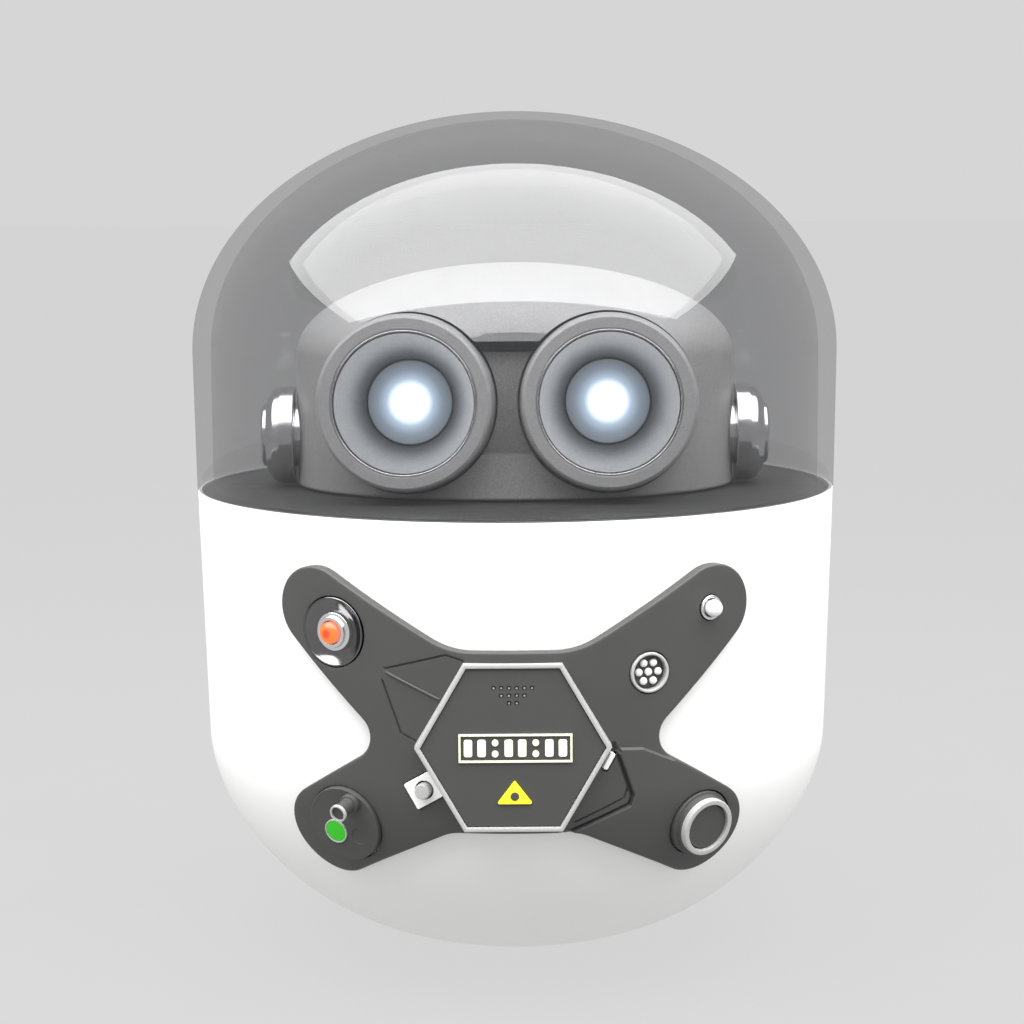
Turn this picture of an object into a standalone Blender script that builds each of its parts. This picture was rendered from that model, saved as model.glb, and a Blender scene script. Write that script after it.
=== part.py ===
"""Educational coding robot: an egg-shaped body on two wheels, with a panning head under a clear dome.

Metres, +Z up. The origin is on the floor, in the middle of the footprint. The robot faces -Y.
"""

import math

import bmesh
import bpy
from mathutils import Matrix, Vector

MM = 0.001
GAP = 0.3 * MM

# Body of revolution
STAND_OFF = 2.4 * MM
FLAT_R = 22.0 * MM
KNUCKLE_R = 77.6 * MM
KNUCKLE_RISE = 51.5 * MM
KNUCKLE_POWER = 1.75
SEAM_R = 79.4 * MM
SEAM_Z = 114.4 * MM
WALL = 2.6 * MM
LEDGE_Z = 111.0 * MM
LIP = 1.0 * MM
DISH_R = 36.0 * MM
SPLIT_ANGLE = math.radians(89.85)

# Dome
DOME_R = 80.0 * MM
DOME_SPRING_Z = 148.4 * MM
DOME_TOP_Z = 206.9 * MM
DOME_WALL = 4.5 * MM
DOME_TOP_WALL = 2.0 * MM

# Deck, head and ears
DECK_Z = 111.3 * MM
DECK_TOP = 114.3 * MM
HEAD_A = 54.5 * MM
HEAD_B = 41.0 * MM
HEAD_Z = 114.8 * MM
HEAD_SHOULDER_Z = 147.4 * MM
HEAD_RISE = 22.4 * MM
HEAD_WALL = 2.2 * MM
NOTCH_X = 24.0 * MM
NOTCH_Y = -34.0 * MM
NOTCH_LOW = 125.5 * MM
NOTCH_HIGH = 152.0 * MM
BROW_Y = -39.0 * MM
FACE_X = -2.0 * MM
EYE_X = 24.0 * MM
EYE_Z = 138.3 * MM
EYE_FRONT = 46.0 * MM
EYE_TILT = math.radians(3.9)
EYE_TURN = math.radians(1.2)
BARREL_R = 21.4 * MM
EAR_X = 54.9 * MM
EAR_Z = 127.0 * MM
EAR_R = 12.2 * MM
EAR_HUB_R = 8.0 * MM
SHAFT_R = 6.0 * MM
BEARING_R = 9.0 * MM

# Control plate, unrolled at this radius
UNROLL_R = 78.0 * MM
PLATE_THICK = 2.4 * MM
PLATE_TOP = GAP + PLATE_THICK
PLATE_X = -0.7 * MM
HEX_X = -1.0 * MM
HEX_Z = 64.6 * MM
HEX_R = 21.9 * MM
HEX_RIM = 1.1 * MM
HEX_FRONT = 82.2 * MM
PANEL_FRONT = 81.6 * MM
GRILLE_PITCH = 1.7 * MM
GRILLE_TOP = 13.5 * MM

# Wheels and drive
WHEEL_X = 17.0 * MM
WHEEL_R = 17.0 * MM
TYRE_WIDTH = 8.0 * MM
RIM_R = 13.6 * MM
MOTOR_END = 43.6 * MM
CASTER_Y = 18.0 * MM
BALL_R = 4.0 * MM
SCREW_RING = 39.0 * MM
SCREW_ANGLES = [math.radians(a) for a in (30, 150, 210, 330)]
FLANGE_Z = 11.6 * MM
FLANGE_TOP = 13.6 * MM
TRAY_Z = 34.0 * MM
TRAY_R = 66.0 * MM

BIG = 32
MEDIUM = 20
SMALL = 12
TINY = 8
EYE_SIDES = 24


# ---------------------------------------------------------------- scene and materials


def clear_scene():
    for obj in list(bpy.data.objects):
        bpy.data.objects.remove(obj, do_unlink=True)


def material(name, color, roughness, metallic=0.0, alpha=1.0):
    mat = bpy.data.materials.get(name) or bpy.data.materials.new(name)
    mat.use_nodes = True
    shader = mat.node_tree.nodes["Principled BSDF"]
    shader.inputs["Base Color"].default_value = (*color, 1.0)
    shader.inputs["Roughness"].default_value = roughness
    shader.inputs["Metallic"].default_value = metallic
    shader.inputs["Alpha"].default_value = alpha
    mat.diffuse_color = (*color, alpha)
    return mat


def finished(name, bm, frame, look):
    """Turns a bmesh into a named object at a frame, with outward faces."""
    bmesh.ops.recalc_face_normals(bm, faces=bm.faces)
    if bm.calc_volume(signed=True) < 0:
        bmesh.ops.reverse_faces(bm, faces=bm.faces)
    mesh = bpy.data.meshes.new(name)
    bm.to_mesh(mesh)
    bm.free()
    mesh.shade_smooth()
    mesh.set_sharp_from_angle(angle=math.radians(35))
    obj = bpy.data.objects.new(name, mesh)
    obj.matrix_world = frame
    bpy.context.scene.collection.objects.link(obj)
    if look is not None:
        mesh.materials.append(look)
    return obj


def as_cutter(obj):
    obj.hide_render = True
    obj.display_type = "WIRE"
    return obj


def boolean(target, other, operation="DIFFERENCE"):
    modifier = target.modifiers.new(operation.title() + " " + other.name, "BOOLEAN")
    modifier.operation = operation
    modifier.solver = "EXACT"
    modifier.object = as_cutter(other)
    return target


# ---------------------------------------------------------------- shape builders


def ring_points(radius_x, radius_y, z, count):
    steps = [2 * math.pi * i / count for i in range(count)]
    return [(radius_x * math.cos(a), radius_y * math.sin(a), z) for a in steps]


def bridge(bm, lower, upper):
    """Faces between two rings of vertices, either of which may be a single pole."""
    count = max(len(lower), len(upper))
    for i in range(count):
        j = (i + 1) % count
        if len(lower) == 1:
            bm.faces.new((lower[0], upper[j], upper[i]))
        elif len(upper) == 1:
            bm.faces.new((lower[i], lower[j], upper[0]))
        else:
            bm.faces.new((lower[i], lower[j], upper[j], upper[i]))


def add_turned(bm, profile, segments, frame=None, squash=1.0):
    """A profile of (radius, height) points turned about local Z. It closes on itself or ends at the axis."""
    frame = frame or Matrix.Identity(4)
    rings = []
    for radius, height in profile:
        points = [(0, 0, height)]
        if radius > 0:
            points = ring_points(radius, radius * squash, height, segments)
        rings.append([bm.verts.new(frame @ Vector(p)) for p in points])
    for lower, upper in zip(rings, rings[1:]):
        bridge(bm, lower, upper)
    if profile[0][0] > 0:
        bridge(bm, rings[-1], rings[0])


def turned(name, profile, frame, look, segments=MEDIUM):
    bm = bmesh.new()
    add_turned(bm, profile, segments)
    return finished(name, bm, frame, look)


def turned_sector(name, profile, start, end, steps, look):
    """A closed profile turned about world Z from one angle to another, measured from -Y towards +X."""
    bm = bmesh.new()
    rings = []
    for i in range(steps + 1):
        angle = start + (end - start) * i / steps
        direction = Vector((math.sin(angle), -math.cos(angle), 0))
        rings.append([bm.verts.new(direction * r + Vector((0, 0, z))) for r, z in profile])
    for first, second in zip(rings, rings[1:]):
        bridge(bm, first, second)
    bm.faces.new(rings[0])
    bm.faces.new(rings[-1])
    return finished(name, bm, Matrix.Identity(4), look)


def add_prism(bm, outline, low, high, frame=None):
    """An outline of (x, y) points extruded along local Z."""
    frame = frame or Matrix.Identity(4)
    bottom = [bm.verts.new(frame @ Vector((x, y, low))) for x, y in outline]
    top = [bm.verts.new(frame @ Vector((x, y, high))) for x, y in outline]
    bridge(bm, bottom, top)
    bm.faces.new(bottom)
    bm.faces.new(top)


def prism(name, outline, low, high, frame, look):
    bm = bmesh.new()
    add_prism(bm, outline, low, high, frame)
    return finished(name, bm, Matrix.Identity(4), look)


def rectangle(width, depth, x=0.0, y=0.0):
    w, d = width / 2, depth / 2
    return [(x - w, y - d), (x + w, y - d), (x + w, y + d), (x - w, y + d)]


def disc(radius, count, x=0.0, y=0.0):
    return [(x + px, y + py) for px, py, _ in ring_points(radius, radius, 0, count)]


def box(name, low, high, look):
    middle = [(a + b) / 2 for a, b in zip(low, high)]
    outline = rectangle(high[0] - low[0], high[1] - low[1], middle[0], middle[1])
    return prism(name, outline, low[2], high[2], Matrix.Identity(4), look)


def bevelled(obj, width, angle=40):
    modifier = obj.modifiers.new("Bevel", "BEVEL")
    modifier.width = width
    modifier.segments = 1
    modifier.limit_method = "ANGLE"
    modifier.angle_limit = math.radians(angle)
    return obj


def belt(circles, step):
    """An outline that runs counter-clockwise round circles, joined by tangents; negative radii are hollows."""
    count = len(circles)
    normals = []
    for i, (x, y, r) in enumerate(circles):
        nx, ny, nr = circles[(i + 1) % count]
        span = math.hypot(nx - x, ny - y)
        normals.append(math.atan2(ny - y, nx - x) - math.acos((r - nr) / span))
    outline = []
    for i, (x, y, r) in enumerate(circles):
        start, end = normals[i - 1], normals[i]
        turn = math.remainder(end - start, 2 * math.pi)
        if turn * r < 0:
            turn += math.copysign(2 * math.pi, r)
        pieces = max(1, round(abs(turn * r) / step))
        angles = [start + turn * k / pieces for k in range(pieces + 1)]
        outline += [(x + r * math.cos(a), y + r * math.sin(a)) for a in angles]
    return outline


# ---------------------------------------------------------------- the body's surface


def body_radius(z):
    """The casing's outer radius at a height: a rounded bottom, then a gentle cone up to the seam."""
    knuckle_z = STAND_OFF + KNUCKLE_RISE
    if z >= knuckle_z:
        return KNUCKLE_R + (SEAM_R - KNUCKLE_R) * (z - knuckle_z) / (SEAM_Z - knuckle_z)
    depth = min(1.0, (knuckle_z - z) / KNUCKLE_RISE)
    return FLAT_R + (KNUCKLE_R - FLAT_R) * (1 - depth**KNUCKLE_POWER) ** (1 / KNUCKLE_POWER)


def body_height(radius):
    """The height of the rounded bottom at a radius."""
    reach = (radius - FLAT_R) / (KNUCKLE_R - FLAT_R)
    depth = (1 - reach**KNUCKLE_POWER) ** (1 / KNUCKLE_POWER)
    return STAND_OFF + KNUCKLE_RISE * (1 - depth)


def body_tilt(z):
    """How far the surface's normal points below the horizon."""
    step = 0.5 * MM
    return math.atan2(body_radius(z + step) - body_radius(z - step), 2 * step)


def surface_frame(angle_deg, z, tilt_deg=None, facing_deg=None):
    """A frame on the casing: local Z outward, local X along the surface to +X, local Y up."""
    angle = math.radians(angle_deg)
    facing = angle if facing_deg is None else math.radians(facing_deg)
    tilt = body_tilt(z) if tilt_deg is None else math.radians(tilt_deg)
    radius = body_radius(z)
    place = Vector((radius * math.sin(angle), -radius * math.cos(angle), z))
    level = Vector((math.sin(facing), -math.cos(facing), 0))
    along = Vector((math.cos(facing), math.sin(facing), 0))
    out = level * math.cos(tilt) - Vector((0, 0, math.sin(tilt)))
    up = out.cross(along)
    frame = Matrix((along, up, out)).transposed().to_4x4()
    frame.translation = place
    return frame


def facing_frame(place, direction, up=(0, 0, 1)):
    """A frame whose local Z points in a direction."""
    out = Vector(direction).normalized()
    along = Vector(up).cross(out).normalized()
    frame = Matrix((along, out.cross(along), out)).transposed().to_4x4()
    frame.translation = Vector(place)
    return frame


FLOOR = Matrix.Identity(4)
LAMP = surface_frame(-30.6, 89.0 * MM)
STATUS = surface_frame(32.4, 93.8 * MM)
CONTACT = surface_frame(21.4, 80.3 * MM)
DIAL = surface_frame(-30.0, 45.0 * MM, 14)
BUTTON = surface_frame(31.6, 44.4 * MM, 12, 35)
LATCH = surface_frame(-15.0, 54.5 * MM) @ Matrix.Rotation(math.radians(-60), 4, "Z")
MARKER = surface_frame(14.6, 60.8 * MM) @ Matrix.Rotation(math.radians(60), 4, "Z")
FRONT = facing_frame((HEX_X, 0, HEX_Z), (0, -1, 0))
SOUND = facing_frame((HEX_X, 0, 74.6 * MM), (0, -1, 0))


# ---------------------------------------------------------------- casing


def outer_wall(radii, heights):
    return [(r, body_height(r)) for r in radii] + [(body_radius(z), z) for z in heights]


def inset(points, depth):
    """The same line, moved inwards by a wall's thickness."""
    moved = []
    for i, (r, z) in enumerate(points):
        before, after = points[max(i - 1, 0)], points[min(i + 1, len(points) - 1)]
        dr, dz = after[0] - before[0], after[1] - before[1]
        size = math.hypot(dr, dz)
        moved.append((r - depth * dz / size, z + depth * dr / size))
    return moved


def shell_profile():
    radii = [DISH_R, 46 * MM, 55 * MM, 63 * MM]
    heights = [z * MM for z in (27, 36, 45, 56)] + [SEAM_Z]
    outer = outer_wall(radii, heights)
    lip = [(SEAM_R - LIP, SEAM_Z), (SEAM_R - LIP, LEDGE_Z)]
    inner = [(max(r, DISH_R), z) for r, z in inset(outer, WALL)[:-1]]
    inner.append((body_radius(LEDGE_Z) - WALL, LEDGE_Z))
    return outer + lip + inner[::-1]


def screw_places():
    for angle in SCREW_ANGLES:
        yield SCREW_RING * math.cos(angle), SCREW_RING * math.sin(angle)


def screw_holes(name, low_side):
    """Counterbored screw holes through the casing's bottom, for the front or the rear half."""
    bm = bmesh.new()
    bore = [(0, 2 * MM), (2.9 * MM, 2 * MM), (2.9 * MM, 7.7 * MM), (1.5 * MM, 7.7 * MM)]
    bore += [(1.5 * MM, 15 * MM), (0, 15 * MM)]
    for x, y in screw_places():
        if (y < 0) == low_side:
            add_turned(bm, bore, TINY, Matrix.Translation((x, y, 0)))
    return finished(name, bm, FLOOR, None)


def casing(white):
    profile = shell_profile()
    front = turned_sector("front_shell", profile, -SPLIT_ANGLE, SPLIT_ANGLE, BIG // 2, white)
    rear = turned_sector(
        "rear_shell", profile, math.pi - SPLIT_ANGLE, math.pi + SPLIT_ANGLE, BIG // 2, white
    )
    boolean(front, screw_holes("front_screw_holes", True))
    boolean(rear, screw_holes("rear_screw_holes", False))
    boolean(front, prism("sound_hole", disc(7 * MM, SMALL), 60 * MM, 90 * MM, SOUND, None))
    port = box("port_hole", (-6.4 * MM, 60 * MM, 56.6 * MM), (6.4 * MM, 90 * MM, 63.4 * MM), None)
    boolean(rear, port)


def base_plate(white):
    """The floor pan: a shallow dish with a flange that the casing screws up against."""
    edge = DISH_R - GAP
    outer = [(0, STAND_OFF), (FLAT_R, STAND_OFF)]
    outer += [(r, body_height(r)) for r in (29 * MM, edge)]
    flange = [(edge, FLANGE_Z), (42 * MM, FLANGE_Z), (42 * MM, FLANGE_TOP), (33 * MM, FLANGE_TOP)]
    inner = [(33 * MM, 7.4 * MM), (29 * MM, 6 * MM), (FLAT_R, 5 * MM), (0, 5 * MM)]
    pan = turned("base_plate", outer + flange + inner, FLOOR, white, BIG)
    ribs = bmesh.new()
    for side in (-1, 1):
        add_prism(ribs, rectangle(4 * MM, 14 * MM, side * 29 * MM), 4 * MM, 11.6 * MM)
    boolean(pan, finished("motor_ribs", ribs, FLOOR, None), "UNION")
    holes = bmesh.new()
    for side in (-1, 1):
        slot = rectangle(TYRE_WIDTH + 2.5 * MM, 30 * MM, side * WHEEL_X)
        add_prism(holes, slot, 0, 9 * MM)
        motor_bed = rectangle(20 * MM, 13 * MM, side * 36 * MM)
        add_prism(holes, motor_bed, 11.65 * MM, 20 * MM)
        add_prism(holes, disc(7 * MM, SMALL, 0, side * CASTER_Y), 0, 9 * MM)
    for x, y in screw_places():
        add_prism(holes, disc(1.5 * MM, TINY, x, y), 9 * MM, 16 * MM)
    boolean(pan, finished("pan_holes", holes, FLOOR, None))


def base_screws(steel):
    screw = [(0, 5.9 * MM), (2.5 * MM, 5.9 * MM), (2.5 * MM, 7.4 * MM), (1.2 * MM, 7.4 * MM)]
    screw += [(1.2 * MM, FLANGE_TOP - GAP), (0, FLANGE_TOP - GAP)]
    for i, (x, y) in enumerate(screw_places()):
        turned(f"base_screw_{i + 1}", screw, Matrix.Translation((x, y, 0)), steel, TINY)


def arc_profile(radius, rise, z, steps, start=0):
    """Points up a quarter ellipse, from its rim towards its apex."""
    angles = [math.pi / 2 * i / steps for i in range(start, steps)]
    return [(radius * math.cos(a), z + rise * math.sin(a)) for a in angles] + [(0, z + rise)]


def dome(clear):
    rim_z = SEAM_Z + GAP
    inner_r = DOME_R - DOME_WALL
    outer = [(SEAM_R + 0.1 * MM, rim_z)]
    outer += arc_profile(DOME_R, DOME_TOP_Z - DOME_SPRING_Z, DOME_SPRING_Z, 7)
    inner_rise = DOME_TOP_Z - DOME_TOP_WALL - DOME_SPRING_Z
    inner = [(inner_r, rim_z)] + arc_profile(inner_r, inner_rise, DOME_SPRING_Z, 5)
    return turned("dome", outer[::-1] + inner, FLOOR, clear, BIG)


def deck(dark):
    hole = BEARING_R + GAP
    profile = [(hole, DECK_Z), (78.1 * MM, DECK_Z), (78.1 * MM, DECK_TOP), (hole, DECK_TOP)]
    plate = turned("deck_plate", profile, FLOOR, dark, BIG)
    hangers = bmesh.new()
    for x in (-15.5 * MM, 35.5 * MM):
        add_prism(hangers, disc(3 * MM, TINY, x, 0), 96.8 * MM, 112 * MM)
    boolean(plate, finished("servo_hangers", hangers, FLOOR, None), "UNION")


# ---------------------------------------------------------------- head


def head_loft(shrink, low, steps):
    """A closed oval body with a domed top, smaller all round by a wall's thickness."""
    a, b = HEAD_A - shrink, HEAD_B - shrink
    bm = bmesh.new()
    profile = [(0, low), (a, low)]
    profile += arc_profile(a, HEAD_RISE - shrink, HEAD_SHOULDER_Z, steps)
    add_turned(bm, profile, BIG, squash=b / a)
    return bm


def notch(name, grow):
    """The space between the eyes that is cut back from the head's front."""
    low = (FACE_X - NOTCH_X - grow, -60 * MM, NOTCH_LOW - grow)
    high = (FACE_X + NOTCH_X + grow, NOTCH_Y + grow, NOTCH_HIGH + grow)
    return box(name, low, high, None)


def brow_face():
    """The sliver cut from the brow's front, which leaves an upright lip over the notch."""
    low = (FACE_X - NOTCH_X, -60 * MM, NOTCH_HIGH - 1 * MM)
    high = (FACE_X + NOTCH_X, BROW_Y, NOTCH_HIGH + 8 * MM)
    return box("brow_face", low, high, None)


def head_shell(grey):
    shell = finished("head_shell", head_loft(0, HEAD_Z, 5), FLOOR, grey)
    hollow = finished("head_hollow", head_loft(HEAD_WALL, 110 * MM, 4), FLOOR, None)
    boolean(hollow, notch("hollow_notch", HEAD_WALL))
    boolean(shell, notch("face_notch", 0))
    boolean(shell, brow_face())
    boolean(shell, hollow)
    ear_holes = bmesh.new()
    for side in (-1, 1):
        ear = facing_frame((0, 0, EAR_Z), (side, 0, 0))
        add_prism(ear_holes, disc(EAR_HUB_R + GAP, MEDIUM), 49 * MM, 60 * MM, ear)
    boolean(shell, finished("ear_holes", ear_holes, FLOOR, None))
    boolean(shell, eye_holes("shell_eye_holes"))


def eye_frame(side):
    """A frame whose local Z is the eye's axis, which looks slightly up and to the robot's right."""
    level = math.cos(EYE_TILT)
    out = Vector((-math.sin(EYE_TURN) * level, -math.cos(EYE_TURN) * level, math.sin(EYE_TILT)))
    front = Vector((FACE_X + side * EYE_X, -EYE_FRONT, EYE_Z))
    return facing_frame(front - out * EYE_FRONT, out)


def eye_holes(name):
    """The two bores for the eye barrels, which just clear each other."""
    bm = bmesh.new()
    for side in (-1, 1):
        add_prism(bm, disc(BARREL_R + GAP, EYE_SIDES), 12 * MM, 60 * MM, eye_frame(side))
    return finished(name, bm, FLOOR, None)


def head_floor(dark):
    inset_by = HEAD_WALL + GAP
    a, b = HEAD_A - inset_by, HEAD_B - inset_by
    bm = bmesh.new()
    outline = [(x, y) for x, y, _ in ring_points(a, b, 0, BIG)]
    add_prism(bm, outline, 115.0 * MM, 117.0 * MM)
    floor = finished("head_floor", bm, FLOOR, dark)
    hole = disc(SHAFT_R + GAP, MEDIUM)
    boolean(floor, prism("shaft_hole", hole, 110 * MM, 120 * MM, FLOOR, None))
    boolean(floor, eye_holes("floor_eye_holes"))


def eyes(barrel_look, reflector_look, lamp_look):
    barrel = [(19.9, 46), (20.6, 45.4), (21.2, 38), (21.4, 30), (21.4, 24), (20.4, 18)]
    barrel += [(17.6, 18), (17.6, 44.6), (16.7, 44.9), (16.7, 46)]
    reflector = [(17.2, 44.2), (17.2, 43.2), (11.4, 20.9), (10.6, 20.9), (16.4, 44.2)]
    lamp = [(0, 18.6), (10.2, 18.6), (10.2, 20.4), (4.3, 20.4), (4.1, 22)]
    lamp += [(2.3, 23.6), (0, 24.1)]
    for side, word in ((-1, "left"), (1, "right")):
        eye = eye_frame(side)
        turned(f"{word}_eye_barrel", in_mm(barrel), eye, barrel_look, EYE_SIDES)
        turned(f"{word}_reflector", in_mm(reflector), eye, reflector_look, MEDIUM)
        turned(f"{word}_eye_lamp", in_mm(lamp), eye, lamp_look, SMALL)


def in_mm(profile):
    return [(r * MM, z * MM) for r, z in profile]


def ears(chrome):
    rise = [(EAR_HUB_R, 51.6 * MM), (EAR_HUB_R, EAR_X), (EAR_R, EAR_X), (EAR_R, 58.9 * MM)]
    crown = in_mm([(11.3, 61.1), (9.2, 62), (7.8, 62), (7.8, 62.9), (7.2, 63.3), (0, 63.3)])
    for side, word in ((-1, "left"), (1, "right")):
        frame = facing_frame((0, 0, EAR_Z), (side, 0, 0))
        turned(f"{word}_ear", [(0, 51.6 * MM)] + rise + crown, frame, chrome, MEDIUM)


# ---------------------------------------------------------------- pan drive


def pan_drive(steel, dark, brass):
    shaft = [(0, 106.9), (8.5, 106.9), (8.5, 108.6), (6, 108.6), (6, 118.6), (0, 118.6)]
    turned("pan_shaft", in_mm(shaft), FLOOR, steel, MEDIUM)
    ring = [(6.3, 111.6), (9, 111.6), (9, 114.1), (6.3, 114.1)]
    turned("pan_bearing", in_mm(ring), FLOOR, brass, MEDIUM)
    horn = [(0, 102.4), (3, 102.4), (3, 104.4), (9, 104.4), (9, 106.6), (0, 106.6)]
    turned("servo_horn", in_mm(horn), FLOOR, dark, SMALL)
    servo = box("pan_servo", (-10 * MM, -10 * MM, 64 * MM), (30 * MM, 10 * MM, 100 * MM), dark)
    wings = box("servo_wings", (-19 * MM, -9 * MM, 94 * MM), (39 * MM, 9 * MM, 96.4 * MM), None)
    boolean(servo, wings, "UNION")
    boss = prism("servo_boss", disc(6 * MM, SMALL), 99 * MM, 102 * MM, FLOOR, None)
    boolean(servo, boss, "UNION")


# ---------------------------------------------------------------- control plate


def plate_circles():
    right = [(12.5, 35.2, -9), (45, 42, 11), (38, 65.5, -5.5), (46, 94, 9.5), (9, 104, -18)]
    left = [(-x, z, r) for x, z, r in reversed(right)]
    return [(PLATE_X + x * MM, z * MM, r * MM) for x, z, r in right + left]


def wrapped(point):
    """Takes (along, up, height over the casing) to the robot's front."""
    along, z, height = point
    angle = along / UNROLL_R
    radius = body_radius(z) + height
    return Vector((radius * math.sin(angle), -radius * math.cos(angle), z))


def plate_cutters():
    bm = bmesh.new()
    low, high = -3 * MM, 8 * MM
    add_prism(bm, disc(8.2 * MM, MEDIUM), low, high, LAMP)
    add_prism(bm, disc(3.0 * MM, SMALL), low, high, STATUS)
    add_prism(bm, disc(4.9 * MM, SMALL), low, high, CONTACT)
    add_prism(bm, disc(9.3 * MM, MEDIUM), low, high, DIAL)
    add_prism(bm, disc(8.0 * MM, MEDIUM), low, high, BUTTON)
    add_prism(bm, rectangle(7 * MM, 7.6 * MM, 0, -0.2 * MM), low, high, LATCH)
    add_prism(bm, rectangle(5 * MM, 2 * MM), low, high, MARKER)
    add_prism(bm, disc(7 * MM, SMALL), 60 * MM, 90 * MM, SOUND)
    return finished("plate_holes", bm, FLOOR, None)


def x_plate(dark):
    bm = bmesh.new()
    outline = belt(plate_circles(), 4 * MM)
    face = bm.faces.new([bm.verts.new((x, z, GAP)) for x, z in outline])
    cuts = [((k * 6.5 * MM, 0, 0), (1, 0, 0)) for k in range(-8, 9)]
    cuts += [((0, z * MM, 0), (0, 1, 0)) for z in (38, 44, 52)]
    for place, normal in cuts:
        geometry = bm.verts[:] + bm.edges[:] + bm.faces[:]
        bmesh.ops.bisect_plane(bm, geom=geometry, dist=1e-7, plane_co=place, plane_no=normal)
    extruded = bmesh.ops.extrude_face_region(bm, geom=bm.faces[:])["geom"]
    for vert in (v for v in extruded if isinstance(v, bmesh.types.BMVert)):
        vert.co.z += PLATE_THICK
    for vert in bm.verts:
        vert.co = wrapped(vert.co)
    plate = finished("x_plate", bm, FLOOR, dark)
    boolean(plate, plate_cutters())


def plate_clearance(name):
    """Everything behind the plate's face, and a gap in front of it."""
    heights = [z * MM for z in (36, 44, 52, 95)]
    profile = [(body_radius(z) + PLATE_TOP + GAP, z) for z in heights]
    profile += [(55 * MM, 95 * MM), (55 * MM, 36 * MM)]
    return turned_sector(name, profile, -math.radians(27), math.radians(27), 10, None)


def hexagon(radius):
    return disc(radius, 6)


def hex_parts(light, dark, cream, yellow):
    frame = prism("hex_frame", hexagon(HEX_R), 68 * MM, HEX_FRONT, FRONT, light)
    window = prism("hex_window", hexagon(HEX_R - HEX_RIM), 60 * MM, 90 * MM, FRONT, None)
    boolean(frame, window)
    boolean(frame, plate_clearance("frame_clearance"))
    panel_r = HEX_R - HEX_RIM - GAP
    panel = prism("hex_panel", hexagon(panel_r), 68 * MM, PANEL_FRONT, FRONT, dark)
    boolean(panel, plate_clearance("panel_clearance"))
    grille = bmesh.new()
    for row, count in enumerate((6, 4, 2)):
        for i in range(count):
            x = (i - (count - 1) / 2) * GRILLE_PITCH
            y = GRILLE_TOP - row * GRILLE_PITCH
            add_prism(grille, disc(0.42 * MM, 4, x, y), 60 * MM, 90 * MM, FRONT)
    boolean(panel, finished("grille_holes", grille, FLOOR, None))
    face = PANEL_FRONT + 0.15 * MM
    badge = rectangle(25.2 * MM, 6.4 * MM, 0.5 * MM, 0)
    prism("name_badge", badge, face, face + 0.45 * MM, FRONT, cream)
    sign = [(-3.8 * MM, -12.6 * MM), (4.4 * MM, -12.6 * MM), (0.3 * MM, -7.2 * MM)]
    prism("triangle_sign", sign, face, face + 0.45 * MM, FRONT, yellow)


# ---------------------------------------------------------------- controls and lights


def lamp(chrome, orange):
    cup = [(0, 0.6), (7.85, 0.6), (7.85, 2.9), (7.4, 2.9), (6.4, 2.1), (4.4, 1.5)]
    cup += [(4.4, 2.3), (3.6, 2.3), (3.6, 3.1), (2.8, 3.1), (2.8, 1.6), (0, 1.6)]
    turned("lamp_cup", in_mm(cup), LAMP, chrome)
    bulb = [(0, 1.9), (2.4, 1.9), (2.4, 4.2), (1.6, 5.1), (0, 5.5)]
    turned("lamp_led", in_mm(bulb), LAMP, orange, SMALL)


def status_light(chrome, white):
    ring = [(2.2, 0.7), (2.8, 0.7), (2.8, 3.1), (2.2, 3.1)]
    turned("status_ring", in_mm(ring), STATUS, chrome, SMALL)
    post = [(0, 0.7), (1.9, 0.7), (1.9, 3.6), (2.0, 3.9), (2.0, 4.6), (1.4, 5.5), (0, 5.9)]
    turned("status_led", in_mm(post), STATUS, white, SMALL)


def contacts(chrome, dark):
    ring = [(3.9, 0.7), (4.6, 0.7), (4.6, 3.1), (3.9, 3.1)]
    turned("contact_ring", in_mm(ring), CONTACT, chrome, SMALL)
    base = prism("contact_block", disc(3.55 * MM, SMALL), 0.7 * MM, 1.4 * MM, CONTACT, chrome)
    balls = bmesh.new()
    pin = in_mm([(0, 1.0), (0.85, 1.0), (0.85, 1.9), (0.5, 2.5), (0, 2.7)])
    for i in range(7):
        angle = math.radians(60 * i)
        reach = 2.3 * MM if i < 6 else 0
        place = Matrix.Translation((reach * math.cos(angle), reach * math.sin(angle), 0))
        add_turned(balls, pin, 6, CONTACT @ place)
    boolean(base, finished("contact_balls", balls, FLOOR, None), "UNION")


def latch(white, grey):
    outline = rectangle(6.4 * MM, 7 * MM, 0, -0.2 * MM)
    tab = prism("latch_tab", outline, 0.6 * MM, 3.3 * MM, LATCH, white)
    hole = disc(2.1 * MM, SMALL)
    boolean(tab, prism("latch_hole", hole, -1 * MM, 6 * MM, LATCH, None))
    pin = [(0, 1.8), (1.75, 1.8), (1.75, 5.0), (1.6, 5.2), (0, 5.2)]
    turned("latch_button", in_mm(pin), LATCH, grey, SMALL)


def marker(white):
    prism("marker_chip", rectangle(4.4 * MM, 1.4 * MM), 0.7 * MM, 3.4 * MM, MARKER, white)


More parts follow.
